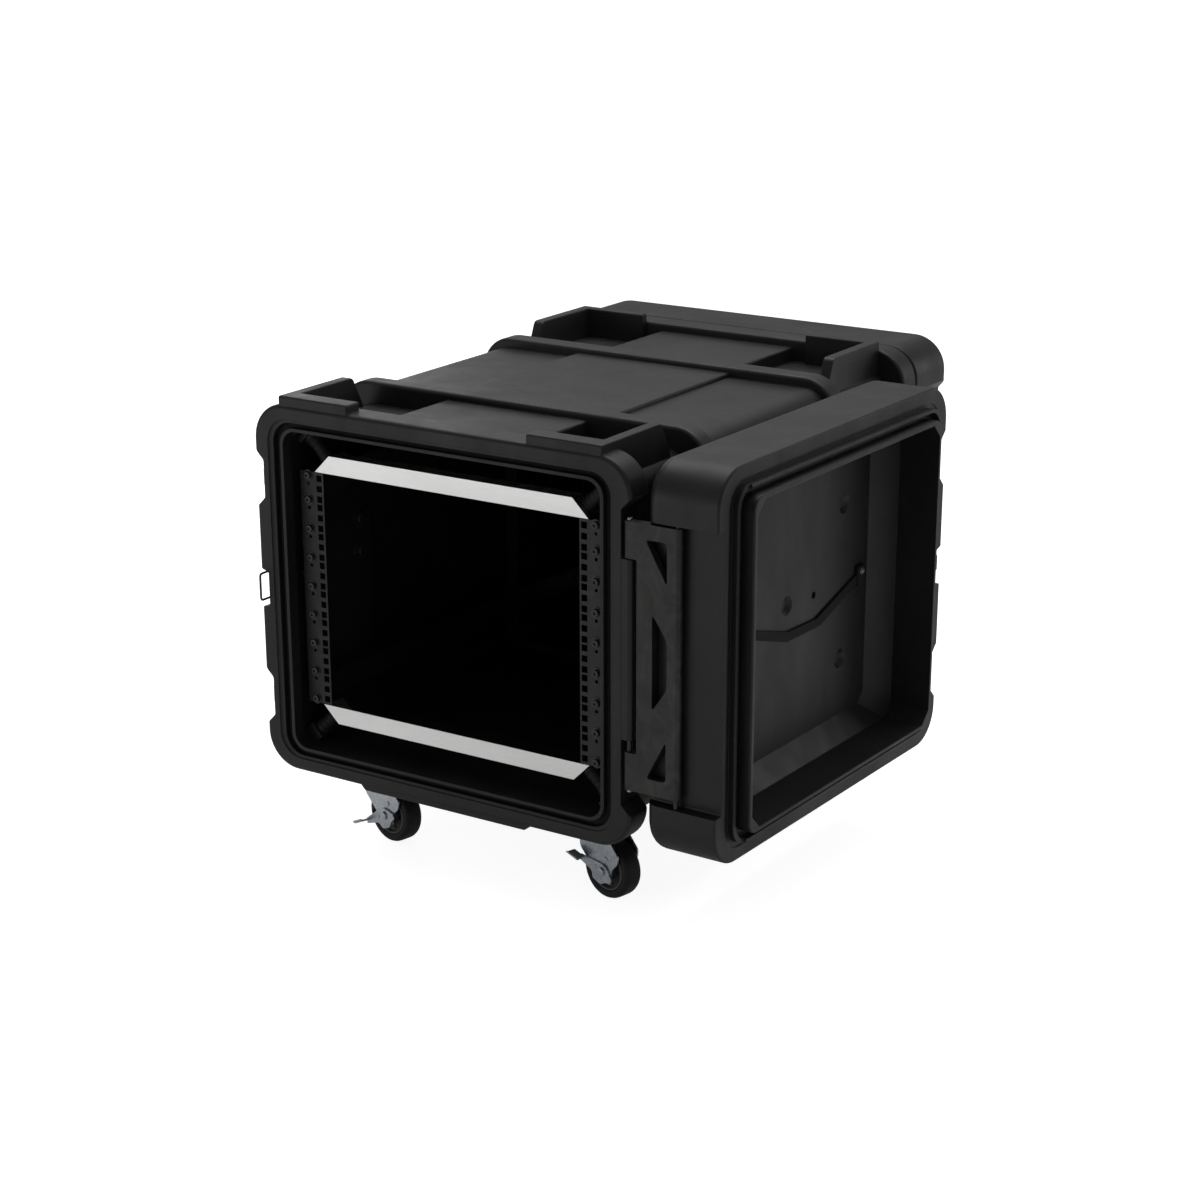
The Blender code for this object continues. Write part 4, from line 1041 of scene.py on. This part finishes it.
def make_latch(end, label, height, materials):
    """A latch bolt: drawn back on the open front lid, and shot on the shut rear lid."""
    x = -RECESS_HALF - 0.6
    nose = [(x - 1.9, height - 8.4), (x, height - 8.4), (x, height + 8.4), (x - 1.9, height + 8.4)]
    bolt = plate([rounded(nose, 0.5, 3)], "XZ", (FRONT - 50, behind(BOLT_REACH)), 0.6)
    slide = block((x - 4.4, x - 0.05), (FRONT - 64, FRONT - 24),
                  (height - BOLT_HALF, height + BOLT_HALF), 1.2, 3)
    tongues = block((x - 3.1, x - 1.5), (FRONT - 63.5, FRONT - 24.5),
                    (height - BOLT_HALF - 3, height + BOLT_HALF + 3), 0.4)
    join(bolt, slide, tongues)
    grip = [(FRONT - 48, x - 3.0), (FRONT - 45.5, x - 10.0, 2), (FRONT - 46, x - 13.0, 1),
            (FRONT - 40, x - 13.0, 2.5), (FRONT - 39, x - 6.0, 5), (FRONT - 34, x - 3.0)]
    outline = [(across, along) for along, across, *_ in grip]
    join(bolt, plate([rounded(outline, 1.5, 4)], "XY", (height - 13, height + 13), 0.8))
    for step in range(3):
        groove = (x - 4.9, FRONT - 60.0 + step * 3.6, height)
        cut(bolt, rod(groove, 1.0, 22, steps=14, soft=0.4))
    if end == "front":
        shifted(bolt, (0, -BOLT_TRAVEL, 0))
    moved(bolt, REST[end, "lid"])
    finish(bolt, f"{end}_{label}_bolt", materials["latch"], f"{end}_{label}_latch",
           [f"{end}_{label}_latch"])


def corner_path(points, radius, closed=True, steps=6):
    """Points in space with rounded corners."""
    path = []
    count = len(points)
    for index in range(count):
        corner = Vector(points[index])
        if not closed and index in (0, count - 1):
            path.append(corner)
            continue
        before = (Vector(points[index - 1]) - corner)
        after = (Vector(points[(index + 1) % count]) - corner)
        reach = min(radius, before.length / 2.05, after.length / 2.05)
        before.normalize()
        after.normalize()
        for step in range(steps + 1):
            share = step / steps
            start = corner + before * reach * (1 - share)
            end = corner + after * reach * share
            path.append(start * (1 - share) + end * share)
    return path


def make_bail(end, materials):
    low, high = BAIL_ZONE
    back, front = behind(22), behind(-12)
    corners = [(BAIL_X, back, low + 1.75), (BAIL_X, front, low + 1.75),
               (BAIL_X, front, high - 1.75), (BAIL_X, back, high - 1.75)]
    bail = moved(wire(corner_path(corners, 5.0), 1.75, True), REST[end, "body"])
    finish(bail, end + "_bail_wire", materials["black_steel"], end + "_bail", [end + "_bail"])


# ---- rack frame ----

def end_matrix(end, mirrored):
    """Front, front mirrored left to right, and each turned to the rear."""
    matrix = Matrix.Scale(-1, 4, (1, 0, 0)) if mirrored else Matrix.Identity(4)
    return (HALF_TURN if end == "rear" else Matrix.Identity(4)) @ matrix


def hole_grid(centres, size, y):
    """Square cutters as one object."""
    total = bmesh.new()
    half = size / 2
    for x, z in centres:
        piece = cube_shape((x - half, x + half), y, (z - half, z + half))
        mesh = bpy.data.meshes.new("piece")
        piece.to_mesh(mesh)
        piece.free()
        total.from_mesh(mesh)
        bpy.data.meshes.remove(mesh)
    return from_bmesh("holes", total)


def make_rail_shape():
    rail = block((RAIL_INNER, RAIL_OUTER), (RAIL_PLANE, RAIL_PLANE + SHEET),
                 (RAIL_BOTTOM, RAIL_TOP), 0.5)
    join(rail, block((RAIL_OUTER - SHEET, RAIL_OUTER), (RAIL_PLANE + 0.2, RAIL_PLANE + 40),
                     (RAIL_BOTTOM, RAIL_TOP), 0.5))
    centres = []
    for unit in range(UNITS):
        for offset in (0.0, 15.875, 31.75):
            centres.append((HOLE_COLUMN, LOWEST_HOLE + unit * RACK_UNIT + offset))
    cut(rail, hole_grid(centres, 9.5, (RAIL_PLANE - 5, RAIL_PLANE + 8)))
    for place in range(UNITS + 1):
        z = min(LOWEST_HOLE + place * RACK_UNIT - 2.0, RAIL_TOP - 6.0)
        cut(rail, rod((BOLT_COLUMN, RAIL_PLANE, z - 12.5), 2.6, 12, "Y", 20))
    return rail


def make_rail(end, label, materials):
    side = 1 if label == "right" else -1
    mirrored = (side < 0) != (end == "rear")
    matrix = end_matrix(end, mirrored)
    rail = moved(make_rail_shape(), matrix)
    finish(rail, f"{end}_{label}_rack_rail", materials["rail"], "case_body",
           [f"{end}_{label}_rail"])
    heads = []
    for place in range(UNITS + 1):
        z = min(LOWEST_HOLE + place * RACK_UNIT - 2.0, RAIL_TOP - 6.0)
        heads += bolt_head((BOLT_COLUMN, RAIL_PLANE, z), 6.0, 3.8, "-Y", 8.4, 2.6)
    heads = moved(gather("heads", heads), matrix)
    finish(heads, f"{end}_{label}_rail_bolts", materials["bolt"], "case_body")


def make_bar(end, label, materials):
    top = label == "top"
    inner = RAIL_TOP + 0.3 if top else RAIL_BOTTOM - 0.3
    outer = inner + BAR_HEIGHT if top else inner - BAR_HEIGHT
    short = BAR_LONG_HALF - BAR_HEIGHT
    outline = [(-BAR_LONG_HALF, inner), (BAR_LONG_HALF, inner), (short, outer), (-short, outer)]
    bar = plate([rounded(outline, 0.8, 3)], "XZ", (RAIL_PLANE, RAIL_PLANE + SHEET), 0.4)
    flange = (outer - SHEET, outer) if top else (outer, outer + SHEET)
    join(bar, block((-short + 1, short - 1), (RAIL_PLANE + 0.3, RAIL_PLANE + 26), flange, 0.5))
    for side in (-1, 1):
        tab = block((-BAR_HEIGHT * 0.6, BAR_HEIGHT * 0.6), (RAIL_PLANE + 0.5, RAIL_PLANE + 42),
                    (-SHEET, 0.0), 0.4)
        join(bar, moved(tab, diagonal(side, top, 0.0)))
    matrix = end_matrix(end, False)
    moved(bar, matrix)
    finish(bar, f"{end}_{label}_cross_bar", materials["bar"], "case_body",
           [f"{end}_{label}_bar"])


def make_beam(label, hand, materials):
    upper = label == "upper"
    side = 1 if hand == "right" else -1
    outer = side * (RAIL_OUTER - SHEET - 0.3)
    inner = outer - side * 18.0
    z = (RAIL_TOP - 39, RAIL_TOP - 1) if upper else (RAIL_BOTTOM + 1, RAIL_BOTTOM + 39)
    ends = RAIL_PLANE + SHEET + 0.3
    beam = block((inner, outer), (ends, -ends), z, 0.8)
    cut(beam, block((inner + side * 3.0, outer + side * 20.0), (ends + 45, -ends - 45),
                    (z[0] + 3, z[1] - 3)))
    middle = sum(z) / 2
    for index in range(9):
        y = -300.0 + index * 75.0
        cut(beam, rod((inner, y, middle), 3.4, 12, "X", 20))
    finish(beam, f"{label}_{hand}_depth_beam", materials["beam"], "case_body",
           [f"{label}_{hand}_beam"])


def make_mount(end, label, hand, materials):
    """A rubber bobbin with bonded end plates."""
    upper = label == "upper"
    side = 1 if hand == "right" else -1
    made = -side if end == "rear" else side
    profile = []
    for step in range(25):
        share = step / 24
        radius = 10.2 + 2.6 * (2 * share - 1) ** 2 + 0.35 * math.cos(share * 10 * math.pi)
        profile.append((radius, 3.4 + share * 41.4))
    y = RAIL_PLANE + 22.0
    matrix = end_matrix(end, False) @ diagonal(made, upper, 0.0)
    rubber_part = moved(turned(profile, 36, centre=(0, y, 0)), matrix)
    finish(rubber_part, f"{end}_{label}_{hand}_bobbin", materials["mount"], "case_body",
           [f"{end}_{label}_{hand}_shock_mount"])
    plates = [rod((0, y, 2.0), 13.0, 2.8, steps=36, soft=0.5),
              rod((0, y, 46.2), 13.0, 2.8, steps=36, soft=0.5)]
    plates = moved(gather("plates", plates), matrix)
    finish(plates, f"{end}_{label}_{hand}_mount_plates", materials["black_steel"], "case_body")


# ---- casters ----

def caster_matrix(x, y, turn=CASTER_TURN):
    return Matrix.Translation(Vector((x, y, 0)) * MM) @ Matrix.Rotation(math.radians(turn), 4, "Z")


def make_caster_plate_shape():
    base = block((-47, 47), (-42, 42), (CASTER_TOP - 3, CASTER_TOP), 0.8)
    race = turned([(24.0, CASTER_TOP - 2.8), (24.0, CASTER_TOP - 6.0), (22.5, CASTER_TOP - 9.0),
                   (19.0, CASTER_TOP - 11.0), (14.0, CASTER_TOP - 12.0)], 48)
    return join(base, race)


def make_fork_shape():
    top = CASTER_TOP - 12.3
    crown = turned([(13.0, top), (22.0, top - 0.4), (25.0, top - 2.0), (25.0, top - 4.0),
                    (14.0, top - 4.2)], 48)
    x, z = CASTER_TRAIL, WHEEL_RADIUS
    leg = [(-21.5, top - 1, 3), (-18.5, z + 27, 6), (x - 17.5, z - 2, 8), (x - 9, z - 13.5, 4),
           (x + 17, z - 12.5, 4), (x + 18.5, z + 7, 9), (x + 30, z + 17, 5), (x + 31.5, z + 30, 4),
           (30, top - 1.5, 4)]
    for side in (-1, 1):
        faces = (side * 19.0, side * 22.0)
        join(crown, plate([rounded(leg, 4.0)], "XZ", faces, 0.5))
        join(crown, rod((x + 6.5, side * 22.4, z + 21.0), 3.6, 2.6, "Y", 24, 0.8))
    join(crown, block((-19, 18), (-20, 20), (top - 5.0, top - 1.5), 0.8))
    join(crown, rod((x, 0, z), 4.6, 56.5, "Y", 32, 0.6))
    nut = gather("nut", [rod((x, -26.8, z), 7.4, 2.6, "Y", 6, 0.5),
                         rod((x, 24.0, z), 7.4, 3.6, "Y", 6, 0.5)])
    return gather("fork", [crown, nut, rod((0, 0, top - 5.5), 7.0, 4.0, "Z", 6, 0.5)])


def make_tyre_shape():
    half = 17.0
    side = [(45.0, half - 10), (44.7, half - 6.5), (43.4, half - 3.4), (41.0, half - 1.4),
            (38.0, half - 0.5), (34.5, half - 0.9), (32.5, half - 3.0)]
    profile = [(r, -y) for r, y in reversed(side)] + side
    profile += [(31.8, half - 3.4), (31.8, -half + 3.4)]
    return turned(profile, 72, "Y", (CASTER_TRAIL, 0, WHEEL_RADIUS), closed=True)


def make_hub_shape():
    half = 17.0
    side = [(29.4, half - 3.2), (27.5, half - 3.0), (26.5, half - 6.0),
            (16.0, half - 6.5), (14.0, half - 1.5), (12.5, half - 0.4), (5.4, half - 0.4)]
    profile = [(r, -y) for r, y in reversed(side)] + side
    hub = turned(profile, 60, "Y", (CASTER_TRAIL, 0, WHEEL_RADIUS), closed=True)
    pockets = []
    for spoke in range(6):
        angle = math.radians(60 * spoke)
        for side_sign in (-1, 1):
            centre = (CASTER_TRAIL + 21.2 * math.cos(angle), side_sign * (half - 5.6),
                      WHEEL_RADIUS + 21.2 * math.sin(angle))
            pockets.append(rod(centre, 3.3, 4.0, "Y", 24))
    return cut(hub, *pockets)


def make_hub_ring_shape():
    """The pale core of the tyre, seen as a thin ring on each side."""
    half = 17.0
    side = [(31.7, half - 3.6), (31.2, half - 2.8), (29.8, half - 2.7), (29.5, half - 3.4)]
    profile = [(r, -y) for r, y in reversed(side)] + side
    return turned(profile, 72, "Y", (CASTER_TRAIL, 0, WHEEL_RADIUS), closed=True)


def make_pedal_shape():
    """A brake lever on the axle, with a turned-out foot tab, two ears and a small round boss."""
    x, z = CASTER_TRAIL, WHEEL_RADIUS
    faces = (-25.2, -22.4)
    outline = [(x + 13, z - 12, 3), (x + 22.5, z - 9, 1.5), (x + 22, z - 1.5, 2), (x + 12, z + 7, 5),
               (x + 3, z + 12.5, 5), (x - 11, z + 11, 6), (x - 45.5, z + 3.7, 1),
               (x - 46, z - 4.7, 1), (x - 17, z - 8.2, 8), (x - 13, z - 18.5, 3),
               (x + 4, z - 20.5, 4)]
    lever = plate([rounded(outline, 2.5, 4)], "XZ", faces, 0.4)
    tab = [(-22.4, z + 2.5), (-38.0, z + 3.5), (-41.4, z + 6.0), (-41.4, z + 3.2),
           (-38.2, z + 0.5), (-22.4, z - 0.5)]
    join(lever, plate([rounded(tab, 1.0, 3)], "YZ", (x - 59.8, x - 38), 0.3))
    join(lever, rod((x - 14, -25.4, z + 1.0), 3.2, 2.0, "Y", 20, 0.7))
    cut(lever, rod((x, 0, z), 5.4, 90, "Y"))
    return lever


def make_caster(end, hand, materials):
    x = CASTER_X * (1 if hand == "right" else -1)
    y = -310.0 if end == "front" else 270.0
    name = f"{end}_{hand}"
    base = shifted(make_caster_plate_shape(), (x, y, 0))
    finish(base, name + "_top_plate", materials["zinc"], "case_body", [name + "_caster_plate"])
    place = caster_matrix(x, y)
    finish(moved(make_fork_shape(), place), name + "_fork_stamping", materials["zinc"],
           name + "_fork", [name + "_fork"])
    finish(moved(make_tyre_shape(), place), name + "_tyre", materials["tyre"], name + "_wheel",
           [name + "_wheel"], 50)
    finish(moved(make_hub_shape(), place), name + "_hub", materials["hub"], name + "_wheel")
    finish(moved(make_hub_ring_shape(), place), name + "_hub_ring", materials["hub_ring"],
           name + "_wheel")
    if end == "front":
        rise = PEDAL_PRESSED if hand == "left" else PEDAL_RELEASED
        pivot = turn_about((CASTER_TRAIL, 0, WHEEL_RADIUS), rise, "Y")
        pedal = moved(make_pedal_shape(), place @ pivot)
        finish(pedal, name + "_pedal", materials["zinc"], name + "_brake_pedal",
               [name + "_brake_pedal"])


# ---- side handles ----

def make_handle(end, hand, materials):
    depth = HANDLE_INS[0] if end == "front" else HANDLE_INS[1]
    x = HANDLE_X * (1 if hand == "right" else -1)
    y = behind(depth)
    low = HANDLE_Z - 39.0
    path = [(x, y - 65, HANDLE_Z), (x, y - 50, HANDLE_Z), (x, y - 50, low), (x, y + 50, low),
            (x, y + 50, HANDLE_Z), (x, y + 65, HANDLE_Z)]
    name = f"{end}_{hand}_handle"
    bow = wire(corner_path(path, 8.0, False), 4.4)
    finish(bow, name + "_wire", materials["black_steel"], name, [name])
    profile = [(4.5, -38.0), (5.5, -36.5)]
    for groove in range(8):
        start = -34.0 + groove * 8.5
        profile += [(5.5, start), (4.9, start + 1.0), (4.9, start + 2.0), (5.5, start + 3.0)]
    profile += [(5.5, 36.5), (4.5, 38.0)]
    grip = turned(profile, 32, "Y", (x, y, low))
    finish(grip, name + "_grip", materials["grip"], name)


# ---- studio ----

def make_studio():
    """A pale floor that stays pale away from the case, and still takes its shadow."""
    look = Nodes("studio_floor", 0.9, specular=0.1)
    look.colour((0.75, 0.75, 0.75))
    path = look.add("ShaderNodeLightPath")
    sheen = look.add("ShaderNodeMath", operation="MULTIPLY")
    look.wire(path.outputs["Is Glossy Ray"], sheen.inputs[0])
    sheen.inputs[1].default_value = FLOOR_SHEEN
    glow = look.add("ShaderNodeMath", operation="MULTIPLY_ADD")
    look.wire(path.outputs["Is Camera Ray"], glow.inputs[0])
    glow.inputs[1].default_value = FLOOR_GLOW
    look.wire(sheen.outputs[0], glow.inputs[2])
    look.shader.inputs["Emission Color"].default_value = (1.0, 1.0, 1.0, 1.0)
    look.wire(glow.outputs[0], look.shader.inputs["Emission Strength"])
    shape = bmesh.new()
    bmesh.ops.create_grid(shape, x_segments=1, y_segments=1, size=40.0)
    mesh = bpy.data.meshes.new("studio_floor")
    shape.to_mesh(mesh)
    shape.free()
    mesh.materials.append(look.material)
    floor = link_object("studio_floor", mesh)
    floor.location.z = -0.0005


def add_light(name, place, target, size, power, colour=(1.0, 1.0, 1.0)):
    data = bpy.data.lights.new(name, "AREA")
    data.shape = "RECTANGLE"
    data.size, data.size_y = size
    data.energy = power
    data.color = colour
    lamp = bpy.data.objects.new(name, data)
    bpy.context.scene.collection.objects.link(lamp)
    lamp.location = place
    lamp.visible_camera = False
    aim = Vector(target) - Vector(place)
    lamp.rotation_euler = aim.to_track_quat("-Z", "Y").to_euler()


def light_studio():
    """White to the camera, and a dimmer white sky for the case, under one broad soft light."""
    world = bpy.data.worlds.new("studio")
    bpy.context.scene.world = world
    world.use_nodes = True
    tree = world.node_tree
    back = tree.nodes["Background"]
    back.inputs["Color"].default_value = (1.0, 1.0, 1.0, 1.0)
    path = tree.nodes.new("ShaderNodeLightPath")
    level = tree.nodes.new("ShaderNodeMapRange")
    level.inputs["To Min"].default_value = SKY_LEVEL
    level.inputs["To Max"].default_value = 1.0
    tree.links.new(path.outputs["Is Camera Ray"], level.inputs["Value"])
    tree.links.new(level.outputs["Result"], back.inputs["Strength"])
    middle = (0.0, -0.05, 0.4)
    add_light("overhead", (-0.3, 0.8, 3.4), middle, (3.4, 2.6), 74.0)
    add_light("behind", (-2.0, 3.4, 2.3), middle, (3.0, 1.6), 3.5)
    add_light("front_left", (-2.0, -3.3, 0.55), middle, (2.2, 1.0), 11.0)
    add_light("front_right", (3.4, -1.6, 2.4), middle, (1.4, 1.6), 2.5)
    add_light("rear_left", (-3.2, 2.2, 1.3), middle, (1.8, 1.6), 14.0)
    add_light("rear_right", (2.4, 3.4, 1.3), middle, (1.8, 1.6), 12.0)
    bpy.context.scene.view_settings.view_transform = "Standard"


def add_camera():
    azimuth, elevation, roll = math.radians(33.14), math.radians(19.35), math.radians(-0.17)
    back = Vector((math.sin(azimuth) * math.cos(elevation),
                   -math.cos(azimuth) * math.cos(elevation), math.sin(elevation)))
    right = (-back).cross(Vector((0, 0, 1))).normalized()
    up = right.cross(-back).normalized()
    across = right * math.cos(roll) + up * math.sin(roll)
    upright = up * math.cos(roll) - right * math.sin(roll)
    data = bpy.data.cameras.new("camera")
    data.sensor_width = 36.0
    data.lens = 76.42
    data.shift_x = 0.0054
    data.shift_y = 0.0722
    camera = bpy.data.objects.new("camera", data)
    bpy.context.scene.collection.objects.link(camera)
    turn = Matrix((across, upright, back)).transposed().to_4x4()
    camera.matrix_world = stand() @ Matrix.Translation((2.08594, -3.21409, 1.53482)) @ turn
    bpy.context.scene.camera = camera


def main():
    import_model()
    materials = make_materials()
    make_body(materials)
    make_body_fasteners(materials)
    for end in ("front", "rear"):
        make_lid(end, materials)
        make_link(end, materials)
        make_gasket(end, materials)
        make_body_pin(end, materials)
        make_bail(end, materials)
        for label, height in zip(("upper", "lower"), LATCH_HEIGHTS):
            make_keeper(end, label, height, materials)
            make_latch(end, label, height, materials)
            for hand in ("left", "right"):
                make_mount(end, label, hand, materials)
        for hand in ("left", "right"):
            make_rail(end, hand, materials)
            make_caster(end, hand, materials)
            make_handle(end, hand, materials)
        for label in ("top", "bottom"):
            make_bar(end, label, materials)
    for label in ("upper", "lower"):
        for hand in ("left", "right"):
            make_beam(label, hand, materials)
    make_studio()
    light_studio()
    add_camera()


main()
